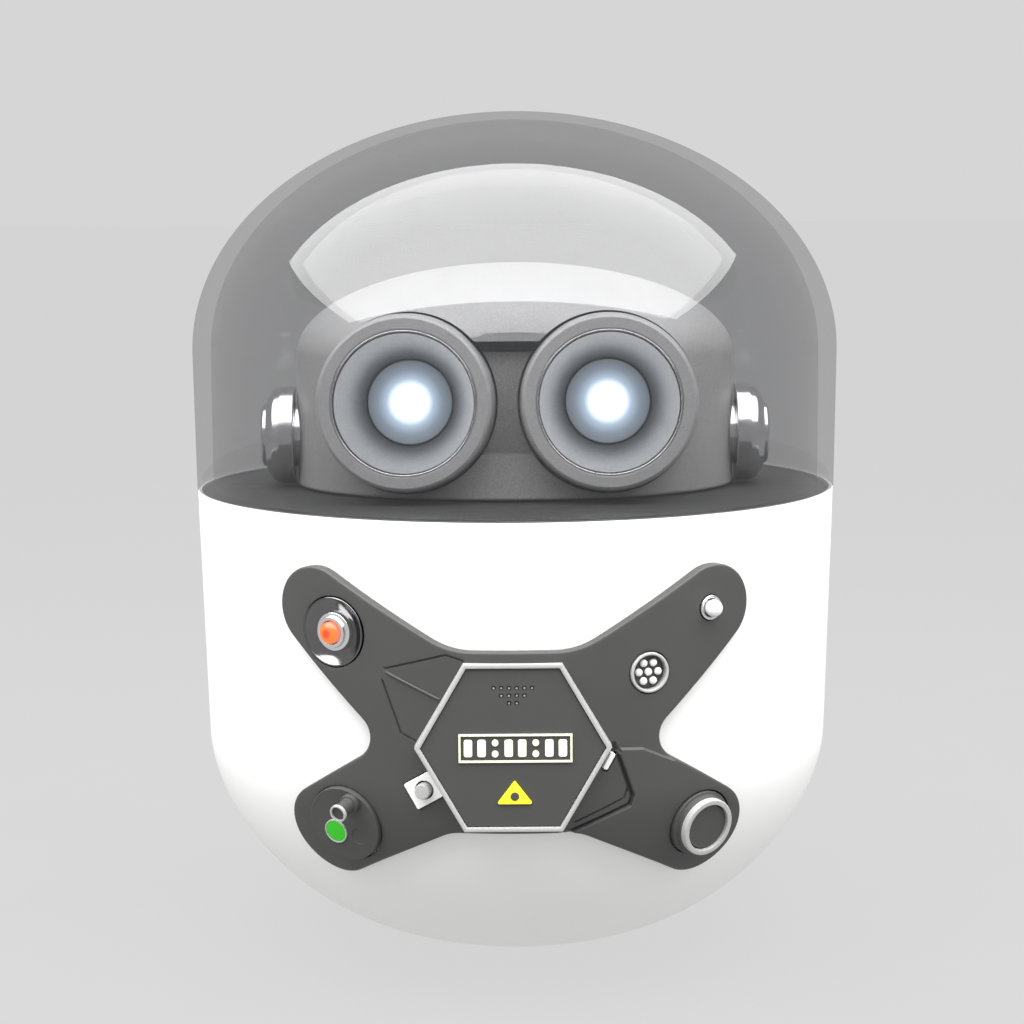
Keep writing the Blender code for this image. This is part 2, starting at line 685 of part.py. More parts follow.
def dial(dark, white, green):
    plate = [(0, 1.0), (9, 1.0), (9, 3.0), (8.8, 3.2), (0, 3.2)]
    face = turned("mode_dial", in_mm(plate), DIAL, dark)
    pin_place = DIAL @ Matrix.Translation((2.9 * MM, 5.8 * MM, 0))
    lamp_place = DIAL @ Matrix.Translation((-2.4 * MM, -1.9 * MM, 0))
    sockets = bmesh.new()
    add_prism(sockets, disc(1.8 * MM, TINY), 2 * MM, 6 * MM, pin_place)
    add_prism(sockets, disc(3.1 * MM, SMALL), 2 * MM, 6 * MM, lamp_place)
    boolean(face, finished("dial_sockets", sockets, FLOOR, None))
    pin = [(0, 2.3), (1.5, 2.3), (1.5, 3.5), (2.2, 3.5), (2.2, 4.5), (1.7, 4.6)]
    pin += [(1.7, 8.2), (2.0, 8.4), (2.0, 8.9), (0, 8.9)]
    turned("dial_pin", in_mm(pin), pin_place, white, SMALL)
    lens = [(0, 2.3), (2.8, 2.3), (2.8, 3.5), (2.4, 3.7), (0, 3.7)]
    turned("dial_lamp", in_mm(lens), lamp_place, green, SMALL)


def power_switch(dark, light):
    collar = [(5.5, 0.7), (7.7, 0.7), (7.7, 3.6), (7.0, 3.8), (7.0, 4.7), (6.8, 4.9), (5.5, 4.9)]
    turned("button_collar", in_mm(collar), BUTTON, dark)
    ring = [(5.5, 5.2), (6.7, 5.2), (6.7, 6.1), (6.5, 6.3), (5.5, 6.3)]
    turned("button_ring", in_mm(ring), BUTTON, light)
    cap = [(0, 2.6), (5.2, 2.6), (5.2, 5.3), (4.9, 5.7), (0, 5.7)]
    turned("power_button", in_mm(cap), BUTTON, dark)


# ---------------------------------------------------------------- drive and inside parts


def wheels(hub_look, rubber, steel, motor_look):
    half = TYRE_WIDTH / 2
    hub = [(1.8, -3.6), (4, -3.6), (4, -1), (11, -1), (11, -3.4), (13.4, -3.4)]
    hub += [(13.4, 3.4), (11, 3.4), (11, 1), (4, 1), (4, 3.6), (1.8, 3.6)]
    inner, outer = RIM_R + GAP, WHEEL_R
    tyre = [(inner, -half), (outer - 1 * MM, -half), (outer, -half + 1 * MM)]
    tyre += [(outer, half - 1 * MM), (outer - 1 * MM, half), (inner, half)]
    axle = [(0, -3), (1.5, -3), (1.5, 5.6), (0, 5.6)]
    motor = [(-6 * MM, -5 * MM), (6 * MM, -5 * MM), (6 * MM, 5 * MM), (-6 * MM, 5 * MM)]
    for side, word in ((-1, "left"), (1, "right")):
        frame = facing_frame((side * WHEEL_X, 0, WHEEL_R), (side, 0, 0))
        turned(f"{word}_wheel", in_mm(hub), frame, hub_look, MEDIUM)
        turned(f"{word}_tyre", tyre, frame, rubber, BIG)
        turned(f"{word}_axle", in_mm(axle), frame, steel, TINY)
        length = MOTOR_END - WHEEL_X
        body = prism(f"{word}_gearmotor", motor, 6.2 * MM, length, frame, motor_look)
        bevelled(body, 1.2 * MM)


def casters(white, steel):
    angles = [math.radians(a) for a in (0, 25, 50, 75)]
    hollow_r = BALL_R + GAP
    hollow = [(hollow_r * math.cos(a), BALL_R + hollow_r * math.sin(a)) for a in angles]
    cup = [(0, 9.8 * MM), (6.7 * MM, 9.8 * MM), (6.7 * MM, 2.7 * MM), (4.05 * MM, 2.7 * MM)]
    cup += hollow + [(0, BALL_R + hollow_r)]
    ball = [(0, -BALL_R)]
    ball += [
        (BALL_R * math.cos(math.radians(a)), BALL_R * math.sin(math.radians(a)))
        for a in range(-60, 61, 30)
    ]
    ball += [(0, BALL_R)]
    for side, word in ((-1, "front"), (1, "rear")):
        turned(f"{word}_caster_cup", cup, Matrix.Translation((0, side * CASTER_Y, 0)), white, SMALL)
        place = (0, side * CASTER_Y, BALL_R)
        turned(f"{word}_caster_ball", ball, facing_frame(place, (1, 0, 0)), steel, SMALL)


def chassis_tray(dark):
    tray = prism("chassis_tray", disc(TRAY_R, BIG), TRAY_Z, TRAY_Z + 2.5 * MM, FLOOR, dark)
    posts = bmesh.new()
    for i in range(4):
        angle = math.radians(45 + 90 * i)
        x, y = math.cos(angle), math.sin(angle)
        add_prism(posts, disc(3 * MM, TINY, 60 * MM * x, 60 * MM * y), 35 * MM, 110.7 * MM)
        lower = disc(3 * MM, TINY, 38 * MM * x, 38 * MM * y)
        add_prism(posts, lower, FLANGE_TOP + GAP, 35 * MM)
    boolean(tray, finished("tray_posts", posts, FLOOR, None), "UNION")


def electronics(green, dark, steel, blue):
    board_low, board_high = (-34 * MM, -46 * MM, 40 * MM), (34 * MM, -10 * MM, 41.6 * MM)
    board = box("main_board", board_low, board_high, green)
    chips = bmesh.new()
    for x, y, w, d, h in ((0, -30, 12, 12, 2), (-22, -28, 8, 14, 3), (20, -34, 14, 8, 6)):
        add_prism(chips, rectangle(w * MM, d * MM, x * MM, y * MM), 41 * MM, (41.6 + h) * MM)
    for x in (-31, 31):
        for y in (-43, -13):
            add_prism(chips, disc(1.8 * MM, 8, x * MM, y * MM), 36.8 * MM, 41 * MM)
    boolean(board, finished("board_chips", chips, FLOOR, None), "UNION")
    pack_low, pack_high = (-33 * MM, 2 * MM, 36.8 * MM), (33 * MM, 38 * MM, 55 * MM)
    bevelled(box("battery_pack", pack_low, pack_high, blue), 2 * MM)
    cone = [(0, 60), (9, 60), (9, 65), (16, 69.5), (16, 72), (14.5, 72), (12, 70), (4, 67.5), (0, 68)]
    frame = facing_frame((0, 0, 66 * MM), (0, -1, 0))
    turned("speaker", in_mm(cone), frame, steel)


def charge_port(steel):
    body = box("charge_port", (-6 * MM, 69 * MM, 57 * MM), (6 * MM, 77.2 * MM, 63 * MM), steel)
    slot = box("port_slot", (-4.5 * MM, 71 * MM, 58.4 * MM), (4.5 * MM, 79 * MM, 61.6 * MM), None)
    boolean(body, slot)


def build():
    clear_scene()
    white = material("white shell", (0.86, 0.86, 0.85), 0.35)
    bright = material("bright white plastic", (0.9, 0.9, 0.9), 0.4)
    clear = material("smoked clear plastic", (0.35, 0.35, 0.36), 0.05, 0.0, 0.35)
    dark = material("dark grey plastic", (0.09, 0.09, 0.088), 0.5)
    deck_grey = material("deck grey plastic", (0.07, 0.07, 0.07), 0.6)
    head_grey = material("head grey plastic", (0.26, 0.26, 0.26), 0.45, 0.2)
    light = material("light grey plastic", (0.62, 0.62, 0.62), 0.4)
    chrome = material("chrome", (0.75, 0.75, 0.77), 0.15, 1.0)
    steel = material("steel", (0.55, 0.55, 0.57), 0.3, 1.0)
    brass = material("bearing brass", (0.7, 0.5, 0.2), 0.35, 1.0)
    brushed = material("brushed dark metal", (0.2, 0.2, 0.21), 0.35, 0.8)
    rubber = material("black rubber", (0.03, 0.03, 0.03), 0.8)
    green = material("green lamp", (0.03, 0.48, 0.01), 0.4)
    board = material("circuit board", (0.02, 0.2, 0.06), 0.5)
    orange = material("orange lamp", (0.95, 0.25, 0.03), 0.3)
    yellow = material("yellow enamel", (0.95, 0.88, 0.03), 0.4)
    cream = material("cream enamel", (0.95, 0.95, 0.75), 0.4)
    blue = material("battery wrap", (0.05, 0.12, 0.35), 0.5)

    casing(white)
    base_plate(white)
    base_screws(steel)
    dome(clear)
    deck(deck_grey)
    head_shell(head_grey)
    head_floor(dark)
    eyes(head_grey, brushed, bright)
    ears(chrome)
    pan_drive(steel, dark, brass)
    x_plate(dark)
    hex_parts(light, dark, cream, yellow)
    lamp(chrome, orange)
    status_light(chrome, bright)
    contacts(chrome, dark)
    latch(bright, light)
    marker(bright)
    dial(dark, bright, green)
    power_switch(dark, light)
    wheels(light, rubber, steel, steel)
    casters(white, steel)
    chassis_tray(dark)
    electronics(board, dark, steel, blue)
    charge_port(steel)


build()
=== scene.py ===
"""Looks of the educational coding robot: smooth meshes and node materials on the CAD frame.

Shapes are drawn in millimetres in the CAD frame, with +Z up and the robot facing -Y, and raw_object()
scales them to metres.
"""

import math

import bmesh
import bpy
from mathutils import Matrix, Vector
from mathutils.geometry import delaunay_2d_cdt


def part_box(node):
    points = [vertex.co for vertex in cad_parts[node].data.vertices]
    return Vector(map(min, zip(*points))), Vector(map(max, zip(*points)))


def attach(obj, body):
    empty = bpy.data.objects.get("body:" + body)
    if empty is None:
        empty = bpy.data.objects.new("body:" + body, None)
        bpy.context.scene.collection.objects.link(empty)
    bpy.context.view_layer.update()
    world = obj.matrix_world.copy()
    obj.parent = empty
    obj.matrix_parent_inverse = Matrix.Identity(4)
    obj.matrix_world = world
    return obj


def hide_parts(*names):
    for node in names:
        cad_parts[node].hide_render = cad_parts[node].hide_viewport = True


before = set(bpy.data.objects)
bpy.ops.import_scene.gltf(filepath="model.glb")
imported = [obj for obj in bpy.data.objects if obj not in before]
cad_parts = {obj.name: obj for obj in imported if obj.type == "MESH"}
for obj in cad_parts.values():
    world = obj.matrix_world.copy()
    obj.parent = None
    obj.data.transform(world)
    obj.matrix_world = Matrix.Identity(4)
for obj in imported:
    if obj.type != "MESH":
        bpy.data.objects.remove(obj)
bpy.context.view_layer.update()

MM = 0.001


def node_box(node):
    """A CAD node's lowest and highest corners, in millimetres."""
    low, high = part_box(node)
    return low / MM, high / MM


# Body of revolution, from the frame
STAND_OFF = node_box("base_plate")[0].z
SEAM_R = node_box("front_shell")[1].x
SEAM_Z = node_box("front_shell")[1].z
FLAT_R = 22.0
KNUCKLE_R = 77.6
KNUCKLE_RISE = 51.5
KNUCKLE_POWER = 1.75
DISH_R = 36.0
WALL = 2.6
LIP = 1.0
LEDGE_Z = 111.0
PORT_Z = 60.0
GAP = 0.3
UNROLL_R = 78.0

# Dome
DOME_R = node_box("dome")[1].x
DOME_TOP = node_box("dome")[1].z
DOME_SPRING_Z = 148.4
DOME_WALL = 4.5
DOME_TOP_WALL = 2.0

# Head
HEAD_A = 54.5
HEAD_B = node_box("head_shell")[1].y
HEAD_Z = node_box("head_shell")[0].z
HEAD_TOP = node_box("head_shell")[1].z
HEAD_SHOULDER_Z = 147.4
HEAD_WALL = 2.2
NOTCH_X = 24.0
NOTCH_Y = -34.0
NOTCH_LOW = 125.5
NOTCH_HIGH = 152.0
BROW_Y = -39.0
FACE_X = -2.0
EYE_X = 24.0
EYE_Z = 138.3
EYE_FRONT = 46.0
EYE_TILT = math.radians(3.9)
EYE_TURN = math.radians(1.2)
BARREL_R = 21.4
EAR_Z = 127.0
EAR_HUB_R = 8.0

# Control plate and hexagon
PLATE_TOP = 2.7
PLATE_X = -0.7
HEX_X = -1.0
HEX_Z = 64.6
HEX_R = 21.9
HEX_RIM = 1.1
HEX_FRONT = -node_box("hex_frame")[0].y
PANEL_FRONT = -node_box("hex_panel")[0].y
HEX_BACK = 76.5
GRILLE_PITCH = 1.7
GRILLE_TOP = 13.5

# Wheels
WHEEL_X = 17.0
WHEEL_R = 17.0
CASTER_Y = 18.0
BALL_R = 4.0
SCREW_RING = 39.0
SCREW_ANGLES = [math.radians(a) for a in (30, 150, 210, 330)]

SIDES = ((-1, "left"), (1, "right"))

# How finely round pieces are drawn
HUGE = 192
BIG = 128
MEDIUM = 96
SMALL = 48
TINY = 24


# ---------------- materials


class Look:
    """A Principled material with procedural detail, read from each piece's own coordinates."""

    def __init__(self, name, color, roughness, metallic=0.0):
        self.material = bpy.data.materials.new(name)
        self.material.use_nodes = True
        self.tree = self.material.node_tree
        self.shader = self.tree.nodes["Principled BSDF"]
        self.color = color
        self.set("Base Color", (*color, 1.0))
        self.set("Roughness", roughness)
        self.set("Metallic", metallic)
        self.height = None
        self.place = self.add("ShaderNodeTexCoord").outputs["Object"]

    def set(self, socket, value):
        self.shader.inputs[socket].default_value = value

    def add(self, kind, links=None, **values):
        """A node with its inputs set by name or number and its properties set by keyword."""
        node = self.tree.nodes.new(kind)
        for key, value in values.items():
            setattr(node, key, value)
        for key, value in (links or {}).items():
            self.feed(node.inputs[key], value)
        return node

    def feed(self, socket, value):
        """Sets a socket to a constant, or links another socket to it."""
        if isinstance(value, bpy.types.NodeSocket):
            self.tree.links.new(value, socket)
        else:
            socket.default_value = value

    def noise(self, size, detail=2.0):
        """Noise from 0 to 1 whose blobs are about this many millimetres across."""
        links = {"Vector": self.place, "Scale": 1 / (size * MM), "Detail": detail}
        return self.add("ShaderNodeTexNoise", links).outputs["Fac"]

    def ranged(self, value, low, high, start=0.3, end=0.7):
        links = {"Value": value, "From Min": start, "From Max": end, "To Min": low, "To Max": high}
        return self.add("ShaderNodeMapRange", links).outputs["Result"]

    def math(self, operation, first, second=0.0):
        return self.add("ShaderNodeMath", {0: first, 1: second}, operation=operation).outputs[0]

    def drift(self, size, amount):
        """Slow colour change between the base colour and a darker one."""
        factor = self.ranged(self.noise(size, 3.0), 0.0, 1.0)
        return self.blend(factor, tuple(c * (1 - amount) for c in self.color))

    def blend(self, factor, other):
        """Mixes another colour over what the base colour holds so far."""
        base = self.shader.inputs["Base Color"]
        below = base.links[0].from_socket if base.is_linked else base.default_value[:]
        mix = self.add("ShaderNodeMix", data_type="RGBA")
        for socket, value in ((0, factor), (6, below), (7, (*other, 1.0))):
            self.feed(mix.inputs[socket], value)
        self.tree.links.new(mix.outputs[2], base)
        return self

    def satin(self, size, low, high):
        """Roughness that wanders between two values."""
        rough = self.ranged(self.noise(size, 4.0), low, high)
        self.tree.links.new(rough, self.shader.inputs["Roughness"])
        return self

    def bump(self, height, depth):
        """Adds a height from 0 to 1, this many millimetres deep, to the surface normal."""
        node = self.add("ShaderNodeBump", {"Height": height, "Strength": 1.0, "Distance": depth * MM})
        if self.height is not None:
            self.tree.links.new(self.height, node.inputs["Normal"])
        self.height = node.outputs["Normal"]
        self.tree.links.new(self.height, self.shader.inputs["Normal"])
        return self

    def grain(self, size, depth):
        """The fine texture of a moulded surface."""
        return self.bump(self.noise(size), depth)

    def radius(self):
        """Distance from the piece's own Z axis, in millimetres."""
        split = self.add("ShaderNodeSeparateXYZ", {0: self.place})
        x, y = split.outputs[0], split.outputs[1]
        squares = self.math("ADD", self.math("MULTIPLY", x, x), self.math("MULTIPLY", y, y))
        return self.math("DIVIDE", self.math("SQRT", squares), MM)

    def turning(self, pitch, depth):
        """Fine rings round the piece's axis, as a lathe leaves them."""
        flat = self.add("ShaderNodeCombineXYZ", {0: self.radius()}).outputs[0]
        links = {"Vector": flat, "Scale": 1 / pitch, "Detail": 3.0, "Roughness": 0.7}
        return self.bump(self.add("ShaderNodeTexNoise", links).outputs["Fac"], depth)

    def ramp(self, factor, stops):
        """Colours at positions from 0 to 1."""
        node = self.add("ShaderNodeValToRGB", {0: factor})
        points = node.color_ramp.elements
        while len(points) < len(stops):
            points.new(0.5)
        for point, (position, color) in zip(points, stops):
            point.position = position
            point.color = (*color, 1.0)
        return node.outputs["Color"]

    def glow(self, stops, reach, strength):
        """Light that changes from the piece's axis outwards, over this many millimetres."""
        factor = self.math("DIVIDE", self.radius(), reach)
        self.tree.links.new(self.ramp(factor, stops), self.shader.inputs["Emission Color"])
        self.set("Emission Strength", strength)
        return self


def moulded(name, color, roughness, grain=0.25, depth=0.006, drift=0.05):
    """Injection-moulded plastic: fine grain, wandering gloss and a faint change of colour."""
    look = Look(name, color, roughness)
    look.drift(22.0, drift)
    look.satin(6.0, roughness - 0.05, roughness + 0.06)
    return look.grain(grain, depth)


def metal(name, color, roughness, size=1.5, depth=0.002):
    look = Look(name, color, roughness, 1.0)
    look.drift(6.0, 0.08)
    look.satin(2.5, roughness * 0.75, roughness * 1.3)
    return look.grain(size, depth)


def flecked(name, color, fleck, roughness):
    """Grey plastic with a fine pale fleck in it."""
    look = moulded(name, color, roughness, 0.35, 0.008, 0.06)
    sparks = look.ranged(look.noise(0.22, 1.0), 0.0, 1.0, 0.52, 0.72)
    look.blend(sparks, fleck)
    shade = look.ranged(look.noise(0.3, 1.0), 0.0, 1.0, 0.55, 0.75)
    return look.blend(shade, tuple(c * 0.72 for c in color))


def smoked(name, through, inside=False):
    """Clear smoky plastic: what is behind shows darker, and the lights reflect on top."""
    look = Look(name, (0.35, 0.35, 0.36), 0.05)
    nodes, links = look.tree.nodes, look.tree.links
    nodes.remove(look.shader)
    haze = look.ranged(look.noise(30.0), 0.0, 1.0)
    tints = [(0.0, tuple(c * 0.985 for c in through)), (1.0, through)]
    clear = look.add("ShaderNodeBsdfTransparent", {"Color": look.ramp(haze, tints)})
    gloss = look.add("ShaderNodeBsdfGlossy", {"Color": (1.0, 1.0, 1.0, 1.0)})
    rough = look.ranged(look.noise(9.0), 0.012, 0.03)
    links.new(rough, gloss.inputs["Roughness"])
    fresnel = look.add("ShaderNodeFresnel", {"IOR": DOME_IOR})
    weight = look.math("MINIMUM", fresnel.outputs[0], GLINT_INSIDE if inside else GLINT_OUTSIDE)
    mix = look.add("ShaderNodeMixShader", {0: weight, 1: clear.outputs[0], 2: gloss.outputs[0]})
    links.new(mix.outputs[0], nodes["Material Output"].inputs["Surface"])
    return look


DOME_IOR = 1.45
GLINT_OUTSIDE = 0.16
GLINT_INSIDE = 0.05
SMOKE_OUT = (0.72, 0.72, 0.725)
SMOKE_IN = (0.872, 0.872, 0.875)


def looks():
    """Every material of the robot, by the name that pieces ask for."""
    made = {}
    made["white"] = moulded("white shell", (0.86, 0.86, 0.855), 0.34, 0.4, 0.003, 0.02)
    made["trim"] = moulded("white trim", (0.88, 0.88, 0.875), 0.3, 0.3, 0.003, 0.03)
    made["dark"] = moulded("dark plate", (0.055, 0.055, 0.054), 0.55, 0.22, 0.008, 0.07)
    made["deck"] = flecked("deck", (0.034, 0.034, 0.033), (0.066, 0.066, 0.065), 0.65)
    made["head"] = flecked("head", (0.35, 0.35, 0.348), (0.47, 0.47, 0.465), 0.44)
    made["barrel"] = flecked("eye barrel", (0.4, 0.4, 0.4), (0.47, 0.47, 0.47), 0.34)
    made["light"] = moulded("light trim", (0.43, 0.43, 0.425), 0.36, 0.3, 0.004, 0.06)
    made["chrome"] = metal("chrome", (0.76, 0.76, 0.77), 0.17)
    made["bowl"] = metal("dark chrome", (0.17, 0.17, 0.172), 0.12)
    made["steel"] = metal("steel", (0.55, 0.55, 0.57), 0.3, 0.6, 0.004)
    made["bronze"] = metal("bronze", (0.7, 0.5, 0.2), 0.34, 0.5, 0.006)
    made["brushed"] = Look("brushed reflector", (0.15, 0.154, 0.158), 0.38, 0.75)
    made["brushed"].turning(0.35, 0.012).satin(0.4, 0.3, 0.46).drift(0.4, 0.25)
    made["rubber"] = moulded("rubber", (0.028, 0.028, 0.028), 0.8, 0.5, 0.02, 0.2)
    made["board"] = moulded("circuit board", (0.02, 0.2, 0.06), 0.4, 0.8, 0.01, 0.3)
    made["cells"] = moulded("battery wrap", (0.05, 0.12, 0.35), 0.35, 4.0, 0.05, 0.1)
    made["cream"] = moulded("cream enamel", (0.93, 0.92, 0.72), 0.35, 0.3, 0.004, 0.05)
    made["yellow"] = moulded("yellow enamel", (0.93, 0.84, 0.03), 0.35, 0.3, 0.004, 0.05)
    made["smoke_out"] = smoked("smoky dome outside", SMOKE_OUT)
    made["smoke_in"] = smoked("smoky dome inside", SMOKE_IN, inside=True)
    made.update(lit_looks())
    return made


def lit_looks():
    white = (1.0, 1.0, 1.0)
    eye = moulded("eye lamp", (0.24, 0.25, 0.27), 0.5, 0.3, 0.03, 0.3)
    halo = [(0.0, white), (0.405, white), (0.44, (0.2, 0.25, 0.31))]
    halo += [(0.55, (0.1, 0.13, 0.165)), (0.75, (0.05, 0.064, 0.08)), (1.0, (0.026, 0.03, 0.034))]
    eye.glow(halo, 10.4, 6.0)
    orange = moulded("orange lamp", (0.35, 0.05, 0.02), 0.3, 0.4, 0.004)
    heart = [(0.0, (0.9, 0.01, 0.01)), (0.28, (1.0, 0.03, 0.01)), (0.45, (1.0, 0.23, 0.01))]
    heart += [(0.75, (1.0, 0.25, 0.015)), (0.97, (0.8, 0.26, 0.2)), (1.0, (0.75, 0.3, 0.26))]
    orange.glow(heart, 2.7, 0.8)
    green = moulded("green lamp", (0.015, 0.25, 0.003), 0.35, 0.4, 0.004)
    fill = [(0.0, (0.008, 0.3, 0.0)), (0.85, (0.012, 0.33, 0.001)), (1.0, (0.015, 0.35, 0.002))]
    green.glow(fill, 2.8, 0.8)
    return {"eye": eye, "orange": orange, "green": green}


# Where a look's name and its slot differ
SLOTS = {
    "white": "white_shell", "trim": "white_trim", "dark": "dark_plate", "light": "light_trim",
    "deck": "deck_grey", "head": "head_grey", "barrel": "barrel_grey", "bowl": "chrome",
    "smoke_out": "smoked_dome", "eye": "eye_glow", "orange": "orange_glow", "green": "green_glow",
}
LOOKS = looks()


# ---------------- shape builders


def filleted(profile, soft, closed):
    """The profile with each corner rounded: a corner is (x, y) or (x, y, its own radius)."""
    count = len(profile)
    rounded = []
    for i, corner in enumerate(profile):
        here = Vector(corner[:2])
        radius = corner[2] if len(corner) > 2 else soft
        at_end = not closed and i in (0, count - 1)
        before = Vector(profile[i - 1][:2]) - here
        after = Vector(profile[(i + 1) % count][:2]) - here
        if radius <= 0 or at_end or before.length < 1e-6 or after.length < 1e-6:
            rounded.append(here)
            continue
        half = before.angle(after) / 2
        if half > math.radians(86):
            rounded.append(here)
            continue
        reach = min(radius / math.tan(half), 0.46 * before.length, 0.46 * after.length)
        centre_way = (before.normalized() + after.normalized()).normalized()
        centre = here + centre_way * (reach / math.cos(half))
        start = here + before.normalized() * reach - centre
        end = here + after.normalized() * reach - centre
        turn = start.angle_signed(end) if start.length > 1e-9 else 0.0
        steps = max(2, round(abs(turn) / math.radians(16)))
        for k in range(steps + 1):
            rounded.append(centre + rotated(start, -turn * k / steps))
    return rounded


def rotated(vector, angle):
    c, s = math.cos(angle), math.sin(angle)
    return Vector((c * vector.x - s * vector.y, s * vector.x + c * vector.y))


def ring_points(rx, ry, z, count):
    steps = [2 * math.pi * i / count for i in range(count)]
    return [(rx * math.cos(a), ry * math.sin(a), z) for a in steps]


def bridge(bm, lower, upper):
    """Faces between two rings of vertices, either of which may be a single pole."""
    count = max(len(lower), len(upper))
    for i in range(count):
        j = (i + 1) % count
        if len(lower) == 1:
            bm.faces.new((lower[0], upper[j], upper[i]))
        elif len(upper) == 1:
            bm.faces.new((lower[i], lower[j], upper[0]))
        else:
            bm.faces.new((lower[i], lower[j], upper[j], upper[i]))


def add_turned(bm, profile, segments, place=None, soft=0.15, squash=1.0):
    """Turns a profile of (radius, height) corners about local Z."""
    place = place or Matrix.Identity(4)
    closed = profile[0][0] > 0
    rings = []
    for radius, height in filleted(profile, soft, closed):
        points = [(0, 0, height)]
        if radius > 1e-6:
            points = ring_points(radius, radius * squash, height, segments)
        rings.append([bm.verts.new(place @ Vector(p)) for p in points])
    for lower, upper in zip(rings, rings[1:]):
        bridge(bm, lower, upper)
    if closed:
        bridge(bm, rings[-1], rings[0])


def add_prism(bm, outline, low, high, place=None, chamfer=0.0):
    """An outline extruded along local Z, with its far edge chamfered."""
    place = place or Matrix.Identity(4)
    levels = [(low, 0.0), (high - chamfer, 0.0)]
    if chamfer:
        levels += [(high - chamfer * 0.3, chamfer * 0.3), (high, chamfer)]
    middle = sum((Vector(p) for p in outline), Vector((0, 0))) / len(outline)
    rings = []
    for height, pull in levels:
        points = [inward(outline, i, middle, pull) for i in range(len(outline))]
        rings.append([bm.verts.new(place @ Vector((*p, height))) for p in points])
    for lower, upper in zip(rings, rings[1:]):
        bridge(bm, lower, upper)
    bm.faces.new(rings[0])
    bm.faces.new(rings[-1])


def inward(outline, i, middle, distance):
    """Corner i of a convex outline, moved so that both its sides shift towards the middle."""
    here = Vector(outline[i])
    if not distance:
        return here
    before = (here - Vector(outline[i - 1])).normalized()
    after = (Vector(outline[(i + 1) % len(outline)]) - here).normalized()
    side = Vector((-before.y, before.x)) + Vector((-after.y, after.x))
    side *= math.copysign(1.0, side.dot(middle - here))
    return here + side * (distance * 2 / side.length_squared)


def rectangle(width, depth, x=0.0, y=0.0, corner=0.0, steps=5):
    """A rectangle, or one with its corners rounded."""
    w, d = width / 2, depth / 2
    corners = [(x - w, y - d), (x + w, y - d), (x + w, y + d), (x - w, y + d)]
    if not corner:
        return corners
    points = []
    for i, (cx, cy) in enumerate(corners):
        centre_x, centre_y = cx - math.copysign(corner, cx - x), cy - math.copysign(corner, cy - y)
        start = math.pi + i * math.pi / 2
        for k in range(steps + 1):
            angle = start + math.pi / 2 * k / steps
            points.append((centre_x + corner * math.cos(angle), centre_y + corner * math.sin(angle)))
    return points


def disc(radius, count, x=0.0, y=0.0):
    return [(x + px, y + py) for px, py, _ in ring_points(radius, radius, 0, count)]


def facing_frame(place, direction, up=(0, 0, 1)):
    """A frame whose local Z points in a direction."""
    out = Vector(direction).normalized()
    along = Vector(up).cross(out).normalized()
    result = Matrix((along, out.cross(along), out)).transposed().to_4x4()
    result.translation = Vector(place)
    return result


def raw_object(name, bm, place=None):
    """A mesh object in metres with outward faces. Its own coordinates are those of its place."""
    bmesh.ops.remove_doubles(bm, verts=bm.verts, dist=1e-5)
    bmesh.ops.recalc_face_normals(bm, faces=bm.faces)
    if bm.calc_volume(signed=True) < 0:
        bmesh.ops.reverse_faces(bm, faces=bm.faces)
    bmesh.ops.scale(bm, vec=(MM, MM, MM), verts=bm.verts)
    mesh = bpy.data.meshes.new(name)
    bm.to_mesh(mesh)
    bm.free()
    obj = bpy.data.objects.new(name, mesh)
    bpy.context.scene.collection.objects.link(obj)
    matrix = (place or Matrix.Identity(4)).copy()
    matrix.translation *= MM
    obj.matrix_world = matrix
    return obj


def cut(obj, *cutters, operation="DIFFERENCE"):
    """Booleans another object's solid from this one, and removes the other."""
    for cutter in cutters:
        modifier = obj.modifiers.new("cut", "BOOLEAN")
        modifier.operation = operation
        modifier.solver = "EXACT"
        modifier.object = cutter
    bake(obj)
    for cutter in cutters:
        bpy.data.objects.remove(cutter)
    return obj


def bake(obj):
    """Applies every modifier."""
    bpy.context.view_layer.update()
    graph = bpy.context.evaluated_depsgraph_get()
    mesh = bpy.data.meshes.new_from_object(obj.evaluated_get(graph))
    obj.modifiers.clear()
    obj.data = mesh
    return obj


def edge_round(obj, width, segments=3, angle=38):
    """Rounds the sharp edges of a cut shape."""
    modifier = obj.modifiers.new("round", "BEVEL")
    modifier.width = width * MM
    modifier.segments = segments
    modifier.limit_method = "ANGLE"
    modifier.angle_limit = math.radians(angle)
    modifier.use_clamp_overlap = True
    return bake(obj)


def finish_piece(obj, look, replaces=(), body="casing", slot=None, sharp=40):
    """Shades an object, gives it its material or materials, and hangs it on its body."""
    names = [look] if isinstance(look, str) else look
    obj.data.materials.clear()
    for name in names:
        obj.data.materials.append(LOOKS[name].material)
    obj.data.shade_smooth()
    obj.data.set_sharp_from_angle(angle=math.radians(sharp))
    modifier = obj.modifiers.new("even shading", "WEIGHTED_NORMAL")
    modifier.keep_sharp = True
    modifier.weight = 60
    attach(obj, body)
    slot or SLOTS.get(names[0], names[0])
    if replaces:
        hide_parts(*replaces)
    return obj


def turned(name, profile, segments, place=None, soft=0.15):
    bm = bmesh.new()
    add_turned(bm, profile, segments, soft=soft)
    return raw_object(name, bm, place)


def prism(name, outline, low, high, place=None, chamfer=0.0):
    bm = bmesh.new()
    add_prism(bm, outline, low, high, chamfer=chamfer)
    return raw_object(name, bm, place)


def turned_piece(name, profile, place, look, replaces=(), segments=SMALL, soft=0.1, **how):
    return finish_piece(turned(name, profile, segments, place, soft), look, replaces, **how)


def prism_piece(name, outline, low, high, place, look, replaces=(), chamfer=0.1, **how):
    return finish_piece(prism(name, outline, low, high, place, chamfer), look, replaces, **how)


# ---------------- the body's surface


